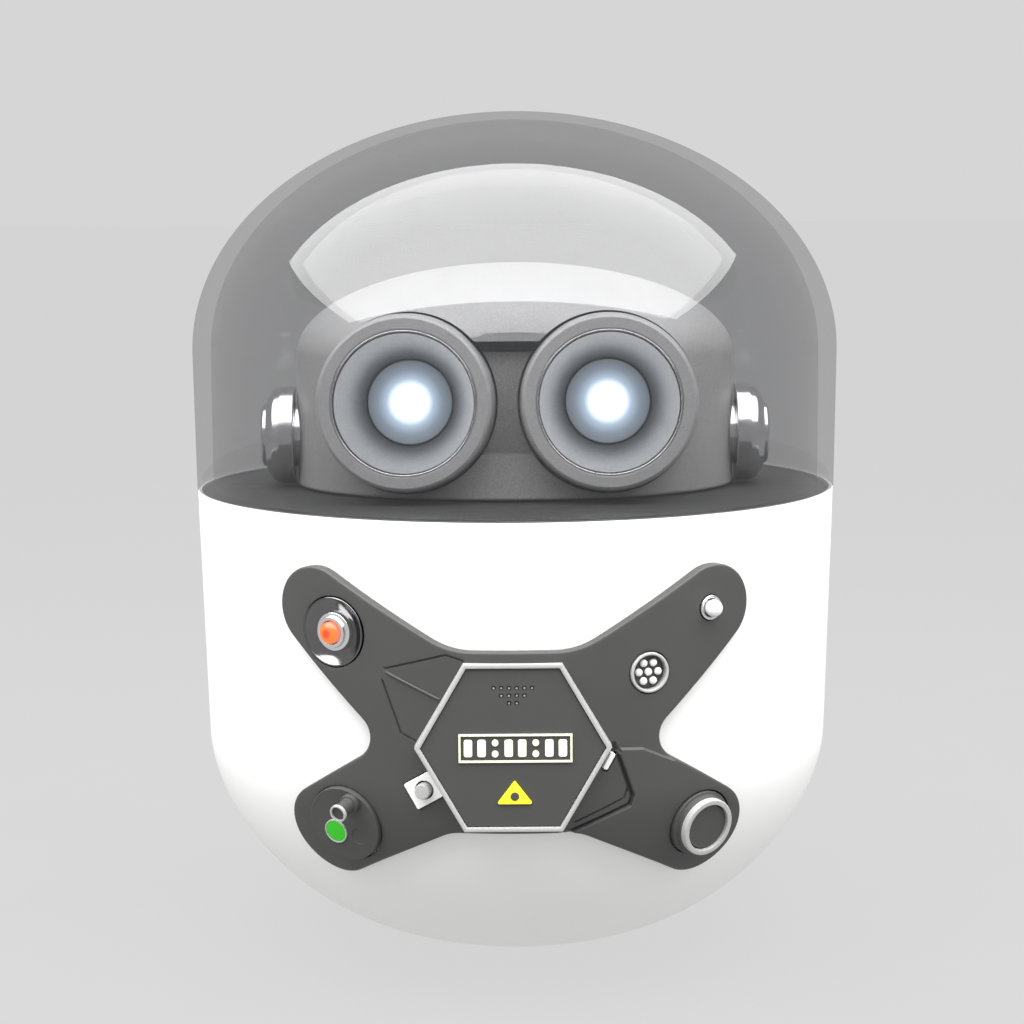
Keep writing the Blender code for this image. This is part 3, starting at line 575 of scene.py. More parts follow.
def body_radius(z):
    """The casing's outer radius at a height."""
    knuckle_z = STAND_OFF + KNUCKLE_RISE
    if z >= knuckle_z:
        return KNUCKLE_R + (SEAM_R - KNUCKLE_R) * (z - knuckle_z) / (SEAM_Z - knuckle_z)
    depth = min(1.0, (knuckle_z - z) / KNUCKLE_RISE)
    return FLAT_R + (KNUCKLE_R - FLAT_R) * (1 - depth**KNUCKLE_POWER) ** (1 / KNUCKLE_POWER)


def knuckle_line(from_radius, steps):
    """Points up the rounded bottom, from a radius to where the cone starts."""
    reach = ((from_radius - FLAT_R) / (KNUCKLE_R - FLAT_R)) ** (KNUCKLE_POWER / 2)
    first = math.acos(min(1.0, max(0.0, reach)))
    points = []
    for i in range(steps + 1):
        t = first * (1 - i / steps)
        r = FLAT_R + (KNUCKLE_R - FLAT_R) * math.cos(t) ** (2 / KNUCKLE_POWER)
        z = STAND_OFF + KNUCKLE_RISE * (1 - math.sin(t) ** (2 / KNUCKLE_POWER))
        points.append((r, z))
    return points


def body_tilt(z):
    step = 0.5
    return math.atan2(body_radius(z + step) - body_radius(z - step), 2 * step)


def surface_frame(angle_deg, z, tilt_deg=None, facing_deg=None):
    """A frame on the casing: local Z outward, local X along the surface to +X, local Y up."""
    angle = math.radians(angle_deg)
    facing = angle if facing_deg is None else math.radians(facing_deg)
    tilt = body_tilt(z) if tilt_deg is None else math.radians(tilt_deg)
    radius = body_radius(z)
    level = Vector((math.sin(facing), -math.cos(facing), 0))
    along = Vector((math.cos(facing), math.sin(facing), 0))
    out = level * math.cos(tilt) - Vector((0, 0, math.sin(tilt)))
    result = Matrix((along, out.cross(along), out)).transposed().to_4x4()
    result.translation = (radius * math.sin(angle), -radius * math.cos(angle), z)
    return result


def wrapped(s, z, height):
    """Takes (along, up, height over the casing) to the robot's front."""
    angle = s / UNROLL_R
    radius = body_radius(z) + height
    return Vector((radius * math.sin(angle), -radius * math.cos(angle), z))


def unwrapped(point):
    return Vector((UNROLL_R * math.atan2(point.x, -point.y), point.z))


FRONT = facing_frame((HEX_X, 0, HEX_Z), (0, -1, 0))
LAMP = surface_frame(-30.6, 89.0)
STATUS = surface_frame(32.4, 93.8)
CONTACT = surface_frame(21.4, 80.3)
DIAL = surface_frame(-30.0, 45.0, 14)
BUTTON = surface_frame(31.6, 44.4, 12, 35)
LATCH = surface_frame(-15.0, 54.5) @ Matrix.Rotation(math.radians(-60), 4, "Z")
MARKER = surface_frame(14.6, 60.8) @ Matrix.Rotation(math.radians(60), 4, "Z")


# ---------------- casing, dome, deck


def shell_section():
    """The casing's wall as a closed loop of (radius, height)."""
    outer = knuckle_line(DISH_R, 44)
    outer += [(body_radius(z), z) for z in (70.0, 90.0, 105.0)]
    top = [(SEAM_R - 0.06, SEAM_Z - 0.5), (SEAM_R - 0.2, SEAM_Z - 0.15), (SEAM_R - 0.5, SEAM_Z)]
    lip = [(SEAM_R - LIP, SEAM_Z), (SEAM_R - LIP, LEDGE_Z)]
    inner = []
    for i, (r, z) in enumerate(outer):
        before, after = outer[max(i - 1, 0)], outer[min(i + 1, len(outer) - 1)]
        dr, dz = after[0] - before[0], after[1] - before[1]
        size = math.hypot(dr, dz)
        inner.append((max(r - WALL * dz / size, DISH_R), z + WALL * dr / size))
    inner.append((body_radius(LEDGE_Z) - WALL, LEDGE_Z))
    return outer, outer + top + lip + inner[::-1]


def half_shell(name, middle, cutters):
    """One half of the casing, with its outer edge eased along the split."""
    outer, section = shell_section()
    half = math.radians(89.85)
    ease = math.radians(0.2)
    count = HUGE // 2
    angles = [-half] + [-half + ease + (2 * half - 2 * ease) * i / count for i in range(count + 1)]
    angles.append(half)
    bm = bmesh.new()
    rings = []
    for i, angle in enumerate(angles):
        pull = 0.25 if i in (0, len(angles) - 1) else 0.0
        direction = Vector((math.sin(middle + angle), -math.cos(middle + angle), 0))
        ring = []
        for k, (r, z) in enumerate(section):
            r = r - pull if k < len(outer) else r
            ring.append(bm.verts.new(direction * r + Vector((0, 0, z))))
        rings.append(ring)
    for first, second in zip(rings, rings[1:]):
        bridge(bm, first, second)
    bm.faces.new(rings[0])
    bm.faces.new(rings[-1])
    obj = raw_object(name, bm)
    cut(obj, *cutters)
    finish_piece(obj, "white", [name.replace("skin", "shell")], sharp=34)


def screw_wells(low_side):
    bm = bmesh.new()
    bore = [(0, 2), (2.9, 2), (2.9, 10.4), (1.5, 10.4), (1.5, 15), (0, 15)]
    for x, y in screw_places():
        if (y < 0) == low_side:
            add_turned(bm, bore, TINY, Matrix.Translation((x, y, 0)), 0)
    return raw_object("wells", bm)


def screw_places():
    for angle in SCREW_ANGLES:
        yield SCREW_RING * math.cos(angle), SCREW_RING * math.sin(angle)


def port_cuts():
    """The charging socket's hole, and the shallow recess round it."""
    rear = facing_frame((0, 0, PORT_Z), (0, 1, 0))
    hole = prism("port", rectangle(12.8, 6.8, corner=2.2), 60, 90, rear)
    floor = body_radius(PORT_Z) - 0.9
    return hole, prism("recess", rectangle(16.4, 10.4, corner=3.6), floor, 90, rear)


def casing():
    half_shell("front_skin", 0.0, [screw_wells(True)])
    half_shell("rear_skin", math.pi, [screw_wells(False), *port_cuts()])


def arc(radius, rise, z, steps, start=0.0):
    """Points up a quarter ellipse, from its rim to its apex."""
    angles = [start + (math.pi / 2 - start) * i / steps for i in range(steps)]
    return [(radius * math.cos(a), z + rise * math.sin(a)) for a in angles] + [(0, z + rise)]


def dome():
    rim = SEAM_Z + GAP
    outer = [(SEAM_R - 0.15, rim), (SEAM_R + 0.1, rim + 0.25)]
    outer += arc(DOME_R, DOME_TOP - DOME_SPRING_Z, DOME_SPRING_Z, 48)
    inner_r = DOME_R - DOME_WALL
    rise = DOME_TOP - DOME_TOP_WALL - DOME_SPRING_Z
    inner = [(inner_r + 0.1, rim), (inner_r, rim + 0.1)] + arc(inner_r, rise, DOME_SPRING_Z, 48)
    obj = turned("dome_glass", outer[::-1] + inner, HUGE, soft=0)
    finish_piece(obj, ["smoke_out", "smoke_in"], ["dome"], sharp=50)
    edge = (inner_r + 0.2) * MM
    for face in obj.data.polygons:
        centre = face.center
        towards_axis = face.normal.x * centre.x + face.normal.y * centre.y < 0
        face.material_index = int(towards_axis or face.normal.z < -0.9 and centre.xy.length < edge)


def deck():
    profile = [(9.3, 111.3), (78.1, 111.3), (78.1, 114.3, 0.6), (60, 114.3), (40, 114.3)]
    profile += [(9.3, 114.3, 0.3)]
    obj = turned("deck", profile, HUGE, soft=0.2)
    hangers = bmesh.new()
    for x in (-15.5, 35.5):
        add_prism(hangers, disc(3, TINY, x, 0), 96.8, 112)
    cut(obj, raw_object("hangers", hangers), operation="UNION")
    finish_piece(obj, "deck", ["deck_plate"])


# ---------------- head


def head_loft(name, shrink, low):
    a, b = HEAD_A - shrink, HEAD_B - shrink
    profile = [(0, low), (a, low, 0.8), (a, low + 10, 0)]
    profile += arc(a, HEAD_TOP - HEAD_SHOULDER_Z - shrink, HEAD_SHOULDER_Z, 40)
    bm = bmesh.new()
    add_turned(bm, profile, HUGE, soft=0, squash=b / a)
    return raw_object(name, bm)


def face_notch(name, grow):
    outline = rectangle(2 * (NOTCH_X + grow), NOTCH_HIGH - NOTCH_LOW + 2 * grow, corner=0.8)
    middle_z = (NOTCH_HIGH + NOTCH_LOW) / 2
    place = facing_frame((FACE_X, 0, middle_z), (0, -1, 0))
    return prism(name, outline, -NOTCH_Y - grow, 60, place)


def brow_cuts():
    """The brow's upright front lip, and the shadow gap under it."""
    cuts = []
    for name, low, high, depth in (("lip", 151.4, 160, -BROW_Y), ("gap", 149.4, 152.2, -NOTCH_Y - 3)):
        place = facing_frame((FACE_X, 0, (low + high) / 2), (0, -1, 0))
        cuts.append(prism(name, rectangle(2 * NOTCH_X, high - low), depth, 60, place))
    return cuts


def eye_frames():
    """Frames whose local Z is each eye's axis, which looks slightly up and to one side."""
    level = math.cos(EYE_TILT)
    out = Vector((-math.sin(EYE_TURN) * level, -math.cos(EYE_TURN) * level, math.sin(EYE_TILT)))
    for side, word in SIDES:
        front = Vector((FACE_X + side * EYE_X, -EYE_FRONT, EYE_Z))
        yield word, facing_frame(front - out * EYE_FRONT, out)


def eye_bores():
    """Each bore is its own cutter, because the two just meet between the eyes."""
    bore = disc(BARREL_R + GAP, BIG)
    return [prism("bore_" + word, bore, 12, 60, place) for word, place in eye_frames()]


def head():
    shell = head_loft("head_casing", 0, HEAD_Z)
    hollow = cut(head_loft("hollow", HEAD_WALL, 110), face_notch("inner_notch", HEAD_WALL))
    bore = disc(EAR_HUB_R + GAP, SMALL)
    ear_holes = [prism("ear_hole", bore, 49, 60, place) for _, place in ear_frames()]
    cut(shell, face_notch("notch", 0), hollow, *brow_cuts(), *ear_holes, *eye_bores())
    edge_round(shell, 0.5)
    finish_piece(shell, "head", ["head_shell"], body="head")
    eyes()
    ears()


def eyes():
    barrel = [(17.1, 46.0, 0.35), (19.8, 46.0, 0.5), (20.5, 45.4, 0.5), (21.1, 38, 4), (21.3, 30, 2)]
    barrel += [(21.3, 24), (20.3, 18), (17.6, 18), (17.6, 44.4), (17.1, 44.7)]
    rim = [(16.65, 44.9), (17.05, 44.9), (17.05, 46.0, 0.2), (16.65, 46.0, 0.2)]
    cone = [(16.35, 44.2), (17.2, 44.2), (17.2, 43.2), (11.4, 20.9), (10.6, 20.9)]
    lamp = [(0, 18.6), (10.2, 18.6), (10.2, 20.4), (4.25, 20.4, 0.1), (4.2, 21.4, 0.3)]
    lamp += [(3.8, 22.6, 1.5), (2.2, 23.7, 1.5), (0, 24.1)]
    for word, place in eye_frames():
        turned_piece(
            f"{word}_barrel", barrel, place, "barrel", [f"{word}_eye_barrel"], segments=BIG,
            soft=0.2, body="head",
        )
        turned_piece(f"{word}_lens_rim", rim, place, "chrome", segments=BIG, body="head")
        turned_piece(
            f"{word}_cone", cone, place, "brushed", [f"{word}_reflector"], segments=BIG, soft=0.05,
            body="head",
        )
        turned_piece(f"{word}_lamp", lamp, place, "eye", [f"{word}_eye_lamp"], soft=0.15, body="head")


def ear_frames():
    for side, word in SIDES:
        yield word, facing_frame((0, 0, EAR_Z), (side, 0, 0))


def ears():
    profile = [(0, 51.6), (8, 51.6), (8, 54.9, 0.1), (12.2, 54.9, 0.35), (12.2, 58.4, 0.6)]
    profile += [(11.6, 60.3, 1.4), (9.4, 61.9, 1.0), (7.9, 62.0), (7.8, 62.8, 0.2), (7.2, 63.3, 0.3)]
    profile += [(0, 63.3)]
    for word, place in ear_frames():
        turned_piece(
            f"{word}_ear_cap", profile, place, "chrome", [f"{word}_ear"], segments=BIG, soft=0.2,
            body="head",
        )


# ---------------- control plate


def plate_circles():
    right = [(12.5, 35.2, -9), (45, 42, 11), (38, 65.5, -5.5), (46, 94, 9.5), (9, 104, -18)]
    left = [(-x, z, r) for x, z, r in reversed(right)]
    return [(PLATE_X + x, z, r) for x, z, r in right + left]


def belt(circles, inset, step):
    """An outline round circles joined by tangents, moved inwards; negative radii are hollows."""
    count = len(circles)
    normals = []
    for i, (x, y, r) in enumerate(circles):
        nx, ny, nr = circles[(i + 1) % count]
        span = math.hypot(nx - x, ny - y)
        normals.append(math.atan2(ny - y, nx - x) - math.acos((r - nr) / span))
    outline = []
    for i, (x, y, r) in enumerate(circles):
        start, end = normals[i - 1], normals[i]
        turn = math.remainder(end - start, 2 * math.pi)
        if turn * r < 0:
            turn += math.copysign(2 * math.pi, r)
        pieces = max(1, round(abs(turn * r) / step))
        angles = [start + turn * k / pieces for k in range(pieces + 1)]
        reach = r - inset
        outline += [Vector((x + reach * math.cos(a), y + reach * math.sin(a))) for a in angles]
        nx, ny, nr = circles[(i + 1) % count]
        ahead = Vector((nx + (nr - inset) * math.cos(end), ny + (nr - inset) * math.sin(end)))
        run = (ahead - outline[-1]).length
        cuts = max(1, round(math.hypot(nx - x, ny - y) / 3.0))
        outline += [outline[-1].lerp(ahead, k / cuts) for k in range(1, cuts) if run > 0]
    return outline


def hole_loops():
    """(centre frame, outline) of each hole, in the frame's own plane."""
    return [
        (LAMP, disc(8.2, MEDIUM)),
        (STATUS, disc(3.0, SMALL)),
        (CONTACT, disc(4.9, SMALL)),
        (DIAL, disc(9.3, MEDIUM)),
        (BUTTON, disc(8.0, MEDIUM)),
        (LATCH, rectangle(7.0, 7.6, 0, -0.2, corner=0.3, steps=2)),
        (MARKER, rectangle(5.0, 2.0, corner=0.3, steps=2)),
    ]


def hole_on_plate(place, outline, grow):
    """A hole's outline on the unrolled plate, widened a little."""
    loop = []
    for x, y in outline:
        wide = 1 + grow / math.hypot(x, y)
        loop.append(unwrapped(place @ Vector((x * wide, y * wide, PLATE_TOP))))
    return loop


# The ridge and the scored lines beside the hexagon, as (along, up) points
RIDGE_LINE = [(-28.3, 80.5), (-17.1, 75.2)]
TOP_SCORE = [(-28.8, 81.6), (-15.3, 85.2), (-11.6, 84.0)]
SIDE_SCORE = [(-29.6, 78.6), (-25.6, 67.1), (-22.3, 65.4)]

# The edge of the raised arm round the power switch: from the plate's side to the hexagon and down
ARM_CREST = [(80.0, 60.6), (38.0, 60.6), (35.1, 59.9), (27.6, 63.3), (22.6, 63.6)]
ARM_GROOVE = [(20.8, 63.8), (22.2, 62.0), (25.6, 52.4), (24.9, 50.2), (11.9, 44.6)]
ARM_RISE = 0.7


def line_distance(point, line):
    """How far a point is from a polyline."""
    best = math.inf
    for first, second in zip(line, line[1:]):
        start = Vector(first)
        along = Vector(second) - start
        share = min(1.0, max(0.0, (point - start).dot(along) / along.length_squared))
        best = min(best, (point - (start + along * share)).length)
    return best


def arm_loop():
    """The raised arm as a closed loop that runs outside the plate's edge."""
    return [Vector(p) for p in ARM_CREST + ARM_GROOVE[1:] + [(9, 20), (80, 20)]]


def inside(point, loop):
    odd = False
    for a, b in zip(loop, loop[1:] + loop[:1]):
        if (a.y > point.y) != (b.y > point.y):
            if point.x < a.x + (b.x - a.x) * (point.y - a.y) / (b.y - a.y):
                odd = not odd
    return odd


def ladder(value, steps):
    """Reads a height from (distance, height) steps, straight between them."""
    if value <= steps[0][0]:
        return steps[0][1]
    for (a, low), (b, high) in zip(steps, steps[1:]):
        if value <= b:
            return low + (high - low) * (value - a) / (b - a)
    return steps[-1][1]


GROOVE = [(-0.75, 0.0), (-0.55, -0.8), (-0.15, -0.8), (0.15, 0.55), (0.4, ARM_RISE)]
CREST = [(0.0, 0.0), (0.5, ARM_RISE)]
SECOND = [(-0.3, 0.0), (-0.12, -0.45), (0.12, -0.45), (0.3, 0.0)]
SECOND_LINE = [(24.0, 53.6), (23.4, 51.9), (12.6, 46.9)]
RIDGE = [(-0.32, 0.0), (-0.1, 0.32), (0.1, 0.32), (0.32, 0.0)]
THIN_LINES = [
    (SECOND_LINE, SECOND),
    (RIDGE_LINE, RIDGE),
    (TOP_SCORE, SECOND),
    (SIDE_SCORE, SECOND),
]


def plate_rise(point):
    """How far the plate's face stands above its general level."""
    groove = line_distance(point, ARM_GROOVE)
    crest = line_distance(point, ARM_CREST)
    rise = 0.0
    if inside(point, arm_loop()):
        rise = ladder(groove, GROOVE)
        if crest < groove:
            rise = ladder(crest, CREST)
        elif crest < CREST[1][0] and groove > 0.6:
            rise = min(rise, ladder(crest, CREST))
    elif groove <= min(crest, 0.75):
        rise = ladder(-groove, GROOVE)
    for line, steps in THIN_LINES:
        away = line_distance(point, line)
        if away < steps[-1][0] and abs(rise) < 0.01:
            rise = ladder(away, steps)
    return rise


def shifted(line, distance):
    """A polyline moved sideways, with mitred corners."""
    points = [Vector(p) for p in line]
    moved = []
    for i, here in enumerate(points):
        before = (here - points[i - 1]).normalized() if i else None
        after = (points[i + 1] - here).normalized() if i + 1 < len(points) else None
        before, after = before or after, after or before
        side = Vector((-before.y, before.x)) + Vector((-after.y, after.x))
        moved.append(here + side * (distance * 2 / side.length_squared))
    return moved


def crease_lines():
    profiles = [(ARM_GROOVE, GROOVE), (ARM_CREST, CREST)] + THIN_LINES
    return [shifted(line, across) for line, profile in profiles for across, _ in profile]


def densified(line, step):
    points = [line[0]]
    for a, b in zip(line, line[1:]):
        cuts = max(1, round((b - a).length / step))
        points += [a.lerp(b, k / cuts) for k in range(1, cuts + 1)]
    return points


def plate_face_mesh(rim, holes):
    """Triangles of the plate's face between its rim and its holes, with edges along every crease."""
    points, edges = [], []

    def add_line(line, closed):
        first = len(points)
        points.extend(line)
        edges.extend((first + i, first + i + 1) for i in range(len(line) - 1))
        if closed:
            edges.append((len(points) - 1, first))

    add_line(rim, True)
    for loop in holes:
        add_line(loop, True)
    for line in crease_lines():
        add_line(densified(line, 1.2), False)
    step = 1.3
    for row in range(int(72 / step)):
        for column in range(-int(60 / step), int(60 / step) + 1):
            spot = Vector(((column + row % 2 / 2) * step, 30 + row * step))
            if inside(spot, rim) and not any(inside(spot, loop) for loop in holes):
                points.append(spot)
    found = delaunay_2d_cdt(points, edges, [], 0, 1e-5)
    spots, faces = found[0], found[2]
    kept = []
    for face in faces:
        middle = sum((spots[i] for i in face), Vector((0, 0))) / len(face)
        if inside(middle, rim) and not any(inside(middle, loop) for loop in holes):
            kept.append(face)
    return spots, kept


def crease(obj, least):
    """Sharp edges where the plate's face bends, where every face is a triangle."""
    bm = bmesh.new()
    bm.from_mesh(obj.data)
    for edge in bm.edges:
        flat = len(edge.link_faces) == 2 and all(len(face.verts) == 3 for face in edge.link_faces)
        if flat and edge.calc_face_angle() > least:
            edge.smooth = False
    bm.to_mesh(obj.data)
    bm.free()


def x_plate():
    """The wrapped plate: a rounded rim, chamfered holes, a raised arm and scored lines."""
    circles = plate_circles()
    rounding = [(0.0, GAP), (0.0, PLATE_TOP - 0.55), (0.08, PLATE_TOP - 0.28)]
    rounding += [(0.28, PLATE_TOP - 0.08), (0.55, PLATE_TOP)]
    rims = [belt(circles, inset, 1.0) for inset, _ in rounding]
    hole_steps = [(0.0, GAP), (0.0, PLATE_TOP - 0.2), (0.06, PLATE_TOP - 0.06), (0.2, PLATE_TOP)]
    holes = [[hole_on_plate(place, loop, grow) for grow, _ in hole_steps] for place, loop in hole_loops()]
    spots, faces = plate_face_mesh(rims[-1], [loops[-1] for loops in holes])
    bm = bmesh.new()
    verts = [bm.verts.new(wrapped(p.x, p.y, PLATE_TOP + plate_rise(p))) for p in spots]
    for face in faces:
        bm.faces.new([verts[i] for i in face])
    walls = [(rims, rounding)] + [(loops, hole_steps) for loops in holes]
    for loops, steps in walls:
        rings = []
        for loop, (_, height) in zip(loops, steps):
            raised = height > steps[-1][1] - 0.6
            lifts = [plate_rise(p) if raised else 0.0 for p in loops[-1]]
            rings.append([bm.verts.new(wrapped(p.x, p.y, height + lift)) for p, lift in zip(loop, lifts)])
        for lower, upper in zip(rings, rings[1:]):
            bridge(bm, lower, upper)
    bmesh.ops.remove_doubles(bm, verts=bm.verts, dist=0.004)
    obj = raw_object("control_plate", bm)
    finish_piece(obj, "dark", ["x_plate"], sharp=30)
    crease(obj, math.radians(5))


# ---------------- hexagon


def hexagon(radius):
    angles = [math.radians(a) for a in range(0, 360, 60)]
    return [(radius * math.cos(a), radius * math.sin(a)) for a in angles]


def hex_ring(name, outer, inner, low, high, ease):
    """A hexagonal ring with its front edges eased."""
    levels = [(outer, low), (outer, high - ease), (outer - ease * 0.3, high - ease * 0.3)]
    levels += [(outer - ease, high), (inner + ease, high), (inner + ease * 0.3, high - ease * 0.3)]
    levels += [(inner, high - ease), (inner, low)]
    bm = bmesh.new()
    rings = [[bm.verts.new((x, y, h)) for x, y in split_loop(hexagon(r), 14)] for r, h in levels]
    for lower, upper in zip(rings, rings[1:] + rings[:1]):
        bridge(bm, lower, upper)
    return raw_object(name, bm, FRONT)


def split_loop(corners, count):
    """A closed outline with each side divided into this many parts."""
    points = []
    for a, b in zip(corners, corners[1:] + corners[:1]):
        points += [tuple(Vector(a).lerp(Vector(b), k / count)) for k in range(count)]
    return points


def grille_places():
    for row, count in enumerate((6, 4, 2)):
        for i in range(count):
            yield (i - (count - 1) / 2) * GRILLE_PITCH, GRILLE_TOP - row * GRILLE_PITCH


def hexagon_parts():
    rim = hex_ring("hexagon_frame", HEX_R, HEX_R - HEX_RIM - 0.15, HEX_BACK, HEX_FRONT, 0.35)
    finish_piece(rim, "light", ["hex_frame"])
    panel_r = HEX_R - HEX_RIM - GAP
    panel = prism("hexagon_panel", hexagon(panel_r), HEX_BACK, PANEL_FRONT, FRONT, 0.12)
    holes = bmesh.new()
    for x, y in grille_places():
        add_prism(holes, rectangle(0.95, 0.95, x, y, corner=0.3, steps=3), PANEL_FRONT - 0.8, 90)
    cut(panel, raw_object("grille", holes, FRONT))
    finish_piece(panel, "dark", ["hex_panel"])
    mesh = bmesh.new()
    for x, y in grille_places():
        dot = [(0, PANEL_FRONT - 0.85), (0.3, PANEL_FRONT - 0.8), (0.3, PANEL_FRONT - 0.3, 0.1)]
        dot += [(0, PANEL_FRONT - 0.15)]
        add_turned(mesh, dot, 12, Matrix.Translation((x, y - 0.1, 0)), 0.1)
    finish_piece(raw_object("grille_dots", mesh, FRONT), "light")
    badge()
    sign()


def add_frame(bm, width, depth, border, low, high, place):
    """A rectangular border."""
    outer = rectangle(width, depth, *place)
    inner = rectangle(width - 2 * border, depth - 2 * border, *place)
    rings = []
    for outline, height in ((outer, low), (outer, high), (inner, high), (inner, low)):
        rings.append([bm.verts.new((x, y, height)) for x, y in outline])
    for lower, upper in zip(rings, rings[1:] + rings[:1]):
        bridge(bm, lower, upper)


def badge():
    """A plain name plate: a border round a row of bars and dots."""
    low, high = PANEL_FRONT + 0.02, PANEL_FRONT + 0.4
    bm = bmesh.new()
    add_frame(bm, 25.2, 6.4, 0.45, low, high, (0.5, 0))
    pitch = 3.0
    for i in range(8):
        x = (i - 3.5) * pitch + 0.5
        if i % 3 == 2:
            add_prism(bm, disc(0.75, TINY, x, 1.25), low, high)
            add_prism(bm, disc(0.75, TINY, x, -1.25), low, high)
        else:
            add_prism(bm, rectangle(1.9, 3.9, x, 0, corner=0.5), low, high, chamfer=0.08)
    obj = raw_object("plain_badge", bm, FRONT)
    finish_piece(obj, "cream", ["name_badge"])


def sign():
    """A plain yellow triangle with a dark dot."""
    low, high = PANEL_FRONT + 0.02, PANEL_FRONT + 0.4
    corners = [(-3.8, -12.6, 0.35), (4.4, -12.6, 0.35), (0.3, -7.2, 0.35)]
    outline = [tuple(p) for p in filleted(corners, 0.35, True)]
    prism_piece(
        "plain_sign", outline, low, high, FRONT, "yellow", ["triangle_sign"], chamfer=0.0
    )
    prism_piece(
        "sign_dot", disc(0.95, TINY, 0.3, -10.9), high - 0.02, high + 0.08, FRONT, "dark",
        chamfer=0.02,
    )


# ---------------- controls and lights


def lamp():
    cup = [(0, 0.6), (7.95, 0.6), (7.95, 2.7, 0.2), (7.6, 2.85, 0.2)]
    cup += [(7.6 - 3.0 * k / 8, 2.7 - 1.35 * math.sin(math.pi / 2 * k / 8)) for k in range(9)]
    cup += [(4.5, 1.3, 0.1), (0, 1.2)]
    turned_piece("orange_lamp_cup", cup, LAMP, "bowl", ["lamp_cup"], segments=BIG, soft=0.08)
    holder = [(2.75, 1.25), (4.4, 1.25), (4.4, 2.5, 0.2), (3.6, 2.7, 0.15), (3.6, 3.7, 0.25)]
    holder += [(2.75, 3.7, 0.15)]
    turned_piece("orange_lamp_holder", holder, LAMP, "chrome", segments=BIG, soft=0.08)
    bulb = [(0, 1.9), (2.4, 1.9), (2.5, 4.3, 0.9), (1.7, 5.2, 1.2), (0, 5.5)]
    turned_piece("orange_lamp", bulb, LAMP, "orange", ["lamp_led"], soft=0.3)


def ball(radius, centre, low, steps=14):
    """A ball's profile from its pole down to a given depth under its centre."""
    end = math.asin(max(-1.0, low / radius))
    angles = [math.pi / 2 - (math.pi / 2 - end) * i / steps for i in range(steps + 1)]
    return [(radius * math.cos(a), centre + radius * math.sin(a)) for a in angles]


def status_light():
    ring = [(2.15, 0.7), (2.85, 0.7), (2.85, 3.1, 0.25), (2.15, 3.1, 0.25)]
    turned_piece("status_bezel", ring, STATUS, "chrome", ["status_ring"])
    post = [(0, 0.7), (1.6, 0.7)] + ball(1.95, 3.95, -1.1)[::-1]
    turned_piece("status_ball", post, STATUS, "trim", ["status_led"], soft=0)


def contacts():
    ring = [(3.95, 0.7), (4.6, 0.7), (4.6, 3.1, 0.25), (3.95, 3.1, 0.25)]
    turned_piece("contact_bezel", ring, CONTACT, "light", ["contact_ring"], slot="chrome")
    turned_piece("contact_base", [(0, 0.7), (3.8, 0.7), (3.8, 1.5), (0, 1.5)], CONTACT, "dark")
    bm = bmesh.new()
    for i in range(7):
        angle = math.radians(60 * i)
        reach = 2.35 if i < 6 else 0.0
        spot = Matrix.Translation((reach * math.cos(angle), reach * math.sin(angle), 0))
        add_turned(bm, [(0, 1.3)] + ball(0.88, 1.85, -0.5, 8)[::-1], 20, spot, 0)
    obj = raw_object("contact_pins", bm, CONTACT)
    finish_piece(obj, "trim", ["contact_block"], slot="chrome")


def latch():
    tab = prism("latch_plate", rectangle(6.5, 7.1, 0, -0.2, corner=0.35), 0.6, 3.3, LATCH, 0.25)
    hole = [(0, -1), (2.1, -1), (2.1, 3.1), (2.35, 3.5), (0, 3.5)]
    cut(tab, turned("hole", hole, SMALL, LATCH, 0))
    finish_piece(tab, "trim", ["latch_tab"])
    turned_piece(
        "latch_well", [(0, 0.62), (2.05, 0.62), (2.05, 0.75), (0, 0.75)], LATCH, "rubber", soft=0.05,
        slot="dark_plate",
    )
    pin = [(0, 1.8), (1.75, 1.8), (1.75, 5.2, 0.3), (0, 5.2)]
    turned_piece("latch_pin_cap", pin, LATCH, "light", ["latch_button"], body="latch_pin")


def marker():
    prism_piece(
        "marker", rectangle(4.2, 1.2, corner=0.5), 0.7, 3.3, MARKER, "trim", ["marker_chip"],
        chamfer=0.25,
    )


def dial():
    pin_place = DIAL @ Matrix.Translation((2.9, 5.8, 0))
    lamp_place = DIAL @ Matrix.Translation((-2.4, -1.9, 0))
    face = [(0, 1.0), (9.05, 1.0), (9.05, 3.2, 0.22), (0, 3.2)]
    disc_obj = turned("dial_disc", face, BIG, DIAL, 0.1)
    socket = prism("socket", disc(2.95, SMALL), 2.2, 6, lamp_place)
    dimple = [(0, 2.9), (1.9, 3.05), (2.15, 3.4), (0, 3.4)]
    dimple_place = DIAL @ Matrix.Translation((3.6, -2.6, 0))
    cut(disc_obj, socket, turned("dimple", dimple, SMALL, dimple_place, 0.05))
    finish_piece(disc_obj, "dark", ["mode_dial"], body="dial")
    pin = [(0, 3.0), (2.35, 3.0), (2.35, 4.3, 0.3), (1.7, 4.5, 0.2), (1.7, 7.6), (2.05, 7.9, 0.15)]
    pin += [(2.05, 8.3), (0, 8.3)]
    turned_piece("dial_stem", pin, pin_place, "dark", ["dial_pin"], body="dial")
    ring = [(1.6, 8.1), (2.05, 8.1), (2.05, 8.9, 0.15), (1.6, 8.9, 0.1)]
    turned_piece("dial_stem_ring", ring, pin_place, "light", soft=0.08, body="dial")
    lens = [(0, 2.3), (2.65, 2.3), (2.65, 3.5, 0.15), (0, 3.65)]
    turned_piece("mode_lamp", lens, lamp_place, "green", ["dial_lamp"], body="dial")
    rim = [(2.62, 2.5), (2.92, 2.5), (2.92, 3.62, 0.1), (2.62, 3.62, 0.1)]
    turned_piece("mode_lamp_rim", rim, lamp_place, "light", soft=0.05, body="dial")


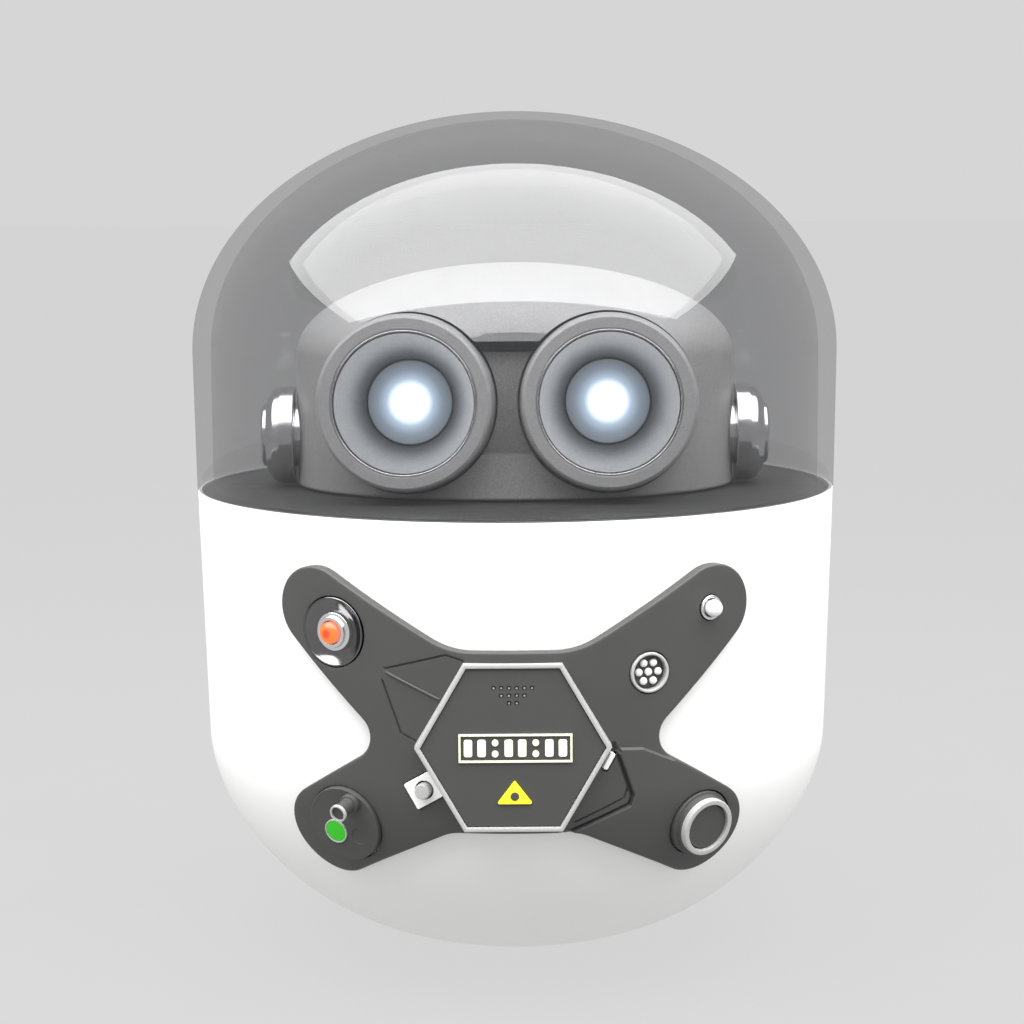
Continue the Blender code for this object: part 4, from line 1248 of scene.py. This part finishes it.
def power_switch():
    collar = [(5.5, 0.7), (7.8, 0.7), (7.8, 3.5, 0.3), (7.1, 3.7, 0.15), (7.1, 4.8, 0.25), (5.5, 4.8)]
    turned_piece("switch_collar", collar, BUTTON, "dark", ["button_collar"], segments=BIG)
    ring = [(5.55, 4.7), (6.8, 4.7), (6.8, 6.3, 0.3), (5.55, 6.3, 0.2)]
    turned_piece("switch_ring", ring, BUTTON, "light", ["button_ring"], segments=BIG, soft=0.15)
    cap = [(0, 2.6), (5.3, 2.6), (5.3, 5.7, 0.35), (4.7, 5.5, 0.1), (0, 5.5)]
    turned_piece("switch_cap", cap, BUTTON, "dark", ["power_button"], segments=BIG, body="power_cap")


# ---------------- underside


def base():
    edge = DISH_R - GAP
    profile = [(0, STAND_OFF)] + [(r, z) for r, z in knuckle_line(FLAT_R, 30) if r < edge - 0.4]
    last = knuckle_line(edge, 1)[0]
    profile += [last, (edge, 11.6), (42, 11.6), (42, 13.6), (33, 13.6), (33, 7.4), (29, 6)]
    profile += [(FLAT_R, 5), (0, 5)]
    pan = turned("floor_pan", profile, BIG, soft=0.12)
    ribs = bmesh.new()
    holes = bmesh.new()
    for side in (-1, 1):
        add_prism(ribs, rectangle(4, 14, side * 29), 4, 11.6)
        add_prism(holes, rectangle(10.5, 30, side * WHEEL_X, corner=2.0), 0, 9)
        add_prism(holes, rectangle(20, 13, side * 36), 11.65, 20)
        add_prism(holes, disc(7, SMALL, 0, side * CASTER_Y), 0, 9)
    for x, y in screw_places():
        add_prism(holes, disc(1.5, TINY, x, y), 9, 16)
    cut(pan, raw_object("ribs", ribs), operation="UNION")
    cut(pan, raw_object("holes", holes))
    finish_piece(pan, "white", ["base_plate"])


def screws():
    """Sunk screws that hold the floor pan."""
    profile = [(0, 9.0), (2.5, 9.0), (2.5, 10.2), (1.2, 10.2), (1.2, 13.3), (0, 13.3)]
    for i, (x, y) in enumerate(screw_places()):
        turned_piece(
            f"floor_screw_{i + 1}", profile, Matrix.Translation((x, y, 0)), "steel",
            [f"base_screw_{i + 1}"], segments=TINY,
        )


def wheel_profiles():
    hub = [(1.8, -3.6), (4, -3.6), (4, -1), (11, -1), (11, -3.4), (13.4, -3.4)]
    hub += [(13.4, 3.4), (11, 3.4), (11, 1), (4, 1), (4, 3.6), (1.8, 3.6)]
    tyre = [(13.9, -4), (16, -4, 0.8), (17, -3, 0.8)]
    for groove in (-1.6, 0.0, 1.6):
        tyre += [(17, groove - 0.35), (16.5, groove - 0.25), (16.5, groove + 0.25), (17, groove + 0.35)]
    tyre += [(17, 3, 0.8), (16, 4, 0.8), (13.9, 4)]
    return hub, tyre


def wheels():
    hub, tyre = wheel_profiles()
    for side, word in SIDES:
        place = facing_frame((side * WHEEL_X, 0, WHEEL_R), (side, 0, 0))
        body = f"{word}_wheel_body"
        turned_piece(
            f"{word}_hub", hub, place, "light", [f"{word}_wheel"], segments=MEDIUM, soft=0.2,
            body=body,
        )
        turned_piece(f"{word}_tread", tyre, place, "rubber", [f"{word}_tyre"], segments=BIG, body=body)


def casters():
    hollow_r = BALL_R + GAP
    cup = [(0, 9.8), (6.7, 9.8), (6.7, 2.7), (4.05, 2.7)]
    for angle in range(0, 90, 10):
        a = math.radians(angle)
        cup.append((hollow_r * math.cos(a), BALL_R + hollow_r * math.sin(a)))
    cup.append((0, BALL_R + hollow_r))
    whole = [(0, BALL_R)] + [
        (BALL_R * math.sin(math.radians(a)), BALL_R * math.cos(math.radians(a)))
        for a in range(10, 180, 10)
    ] + [(0, -BALL_R)]
    for side, word in ((-1, "front"), (1, "rear")):
        turned_piece(
            f"{word}_caster_socket", cup[::-1], Matrix.Translation((0, side * CASTER_Y, 0)), "white",
            [f"{word}_caster_cup"], soft=0.05,
        )
        place = facing_frame((0, side * CASTER_Y, BALL_R), (1, 0, 0))
        turned_piece(
            f"{word}_roller", whole[::-1], place, "steel", [f"{word}_caster_ball"], soft=0,
            body=f"{word}_ball",
        )


def kept_nodes():
    """Materials for the CAD solids inside the casing, whose shapes are right as they are."""
    wears = {
        "steel": ["left_gearmotor", "right_gearmotor", "left_axle", "right_axle", "pan_shaft"],
        "dark": ["chassis_tray", "pan_servo", "servo_horn", "head_floor", "speaker"],
        "bronze": ["pan_bearing"],
        "board": ["main_board"],
        "cells": ["battery_pack"],
        "chrome": ["charge_port"],
    }
    for name, nodes in wears.items():
        for node in nodes:
            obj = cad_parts[node]
            obj.data.materials.clear()
            obj.data.materials.append(LOOKS[name].material)


# ---------------- studio


GREY = 0.672
SOFTBOX_WIDTH = 1.25
SOFTBOX_DEPTH = 0.59
SOFTBOX_GLOW = 5.2
SOFTBOX_PLACE = (-0.015, -0.121, 0.497)
SOFTBOX_AWAY = Vector((0.0, -0.315, 0.949))
FLOOR_DULL = 0.022
FLOOR_SHADE = 0.03
FLOOR_REACH = 30.0
CAMERA_PLACE = (-0.0009, -0.605, 0.183)
CAMERA_LENS = 84.86
CAMERA_DOWN = math.radians(7.16)
CAMERA_ROLL = math.radians(-0.4)


def studio():
    """A pale floor and backdrop in one even grey, and one large soft light above the robot."""
    scene = bpy.context.scene
    scene.view_settings.view_transform = "Standard"
    world = bpy.data.worlds.new("even grey")
    world.use_nodes = True
    world.node_tree.nodes["Background"].inputs["Color"].default_value = (GREY, GREY, GREY, 1.0)
    scene.world = world
    light = bpy.data.lights.new("softbox", "AREA")
    light.shape = "RECTANGLE"
    light.size = SOFTBOX_WIDTH
    light.size_y = SOFTBOX_DEPTH
    light.energy = SOFTBOX_GLOW * SOFTBOX_WIDTH * SOFTBOX_DEPTH * 4
    softbox = bpy.data.objects.new("softbox", light)
    scene.collection.objects.link(softbox)
    softbox.location = SOFTBOX_PLACE
    softbox.rotation_euler = SOFTBOX_AWAY.to_track_quat("Z", "Y").to_euler()
    softbox.visible_camera = False
    bm = bmesh.new()
    bmesh.ops.create_grid(bm, x_segments=8, y_segments=8, size=FLOOR_REACH)
    mesh = bpy.data.meshes.new("floor")
    bm.to_mesh(mesh)
    bm.free()
    floor = bpy.data.objects.new("floor", mesh)
    scene.collection.objects.link(floor)
    paper = Look("pale floor", (FLOOR_DULL, FLOOR_DULL, FLOOR_DULL), 1.0)
    paper.set("Specular IOR Level", 0.0)
    paper.drift(60.0, 0.1)
    paper.set("Emission Color", (1.0, 1.0, 1.0, 1.0))
    paper.set("Emission Strength", GREY - FLOOR_SHADE)
    mesh.materials.append(paper.material)


def camera():
    """The photograph's view: level with the head, a little from above."""
    data = bpy.data.cameras.new("camera")
    data.sensor_width = 36.0
    data.lens = CAMERA_LENS
    data.clip_start = 0.01
    view = bpy.data.objects.new("camera", data)
    bpy.context.scene.collection.objects.link(view)
    view.location = CAMERA_PLACE
    level = Matrix.Rotation(math.pi / 2 - CAMERA_DOWN, 4, "X")
    view.rotation_euler = (level @ Matrix.Rotation(CAMERA_ROLL, 4, "Z")).to_euler()
    bpy.context.scene.camera = view


def build():
    camera()
    studio()
    casing()
    dome()
    deck()
    head()
    x_plate()
    hexagon_parts()
    lamp()
    status_light()
    contacts()
    latch()
    marker()
    dial()
    power_switch()
    base()
    screws()
    wheels()
    casters()
    kept_nodes()


build()
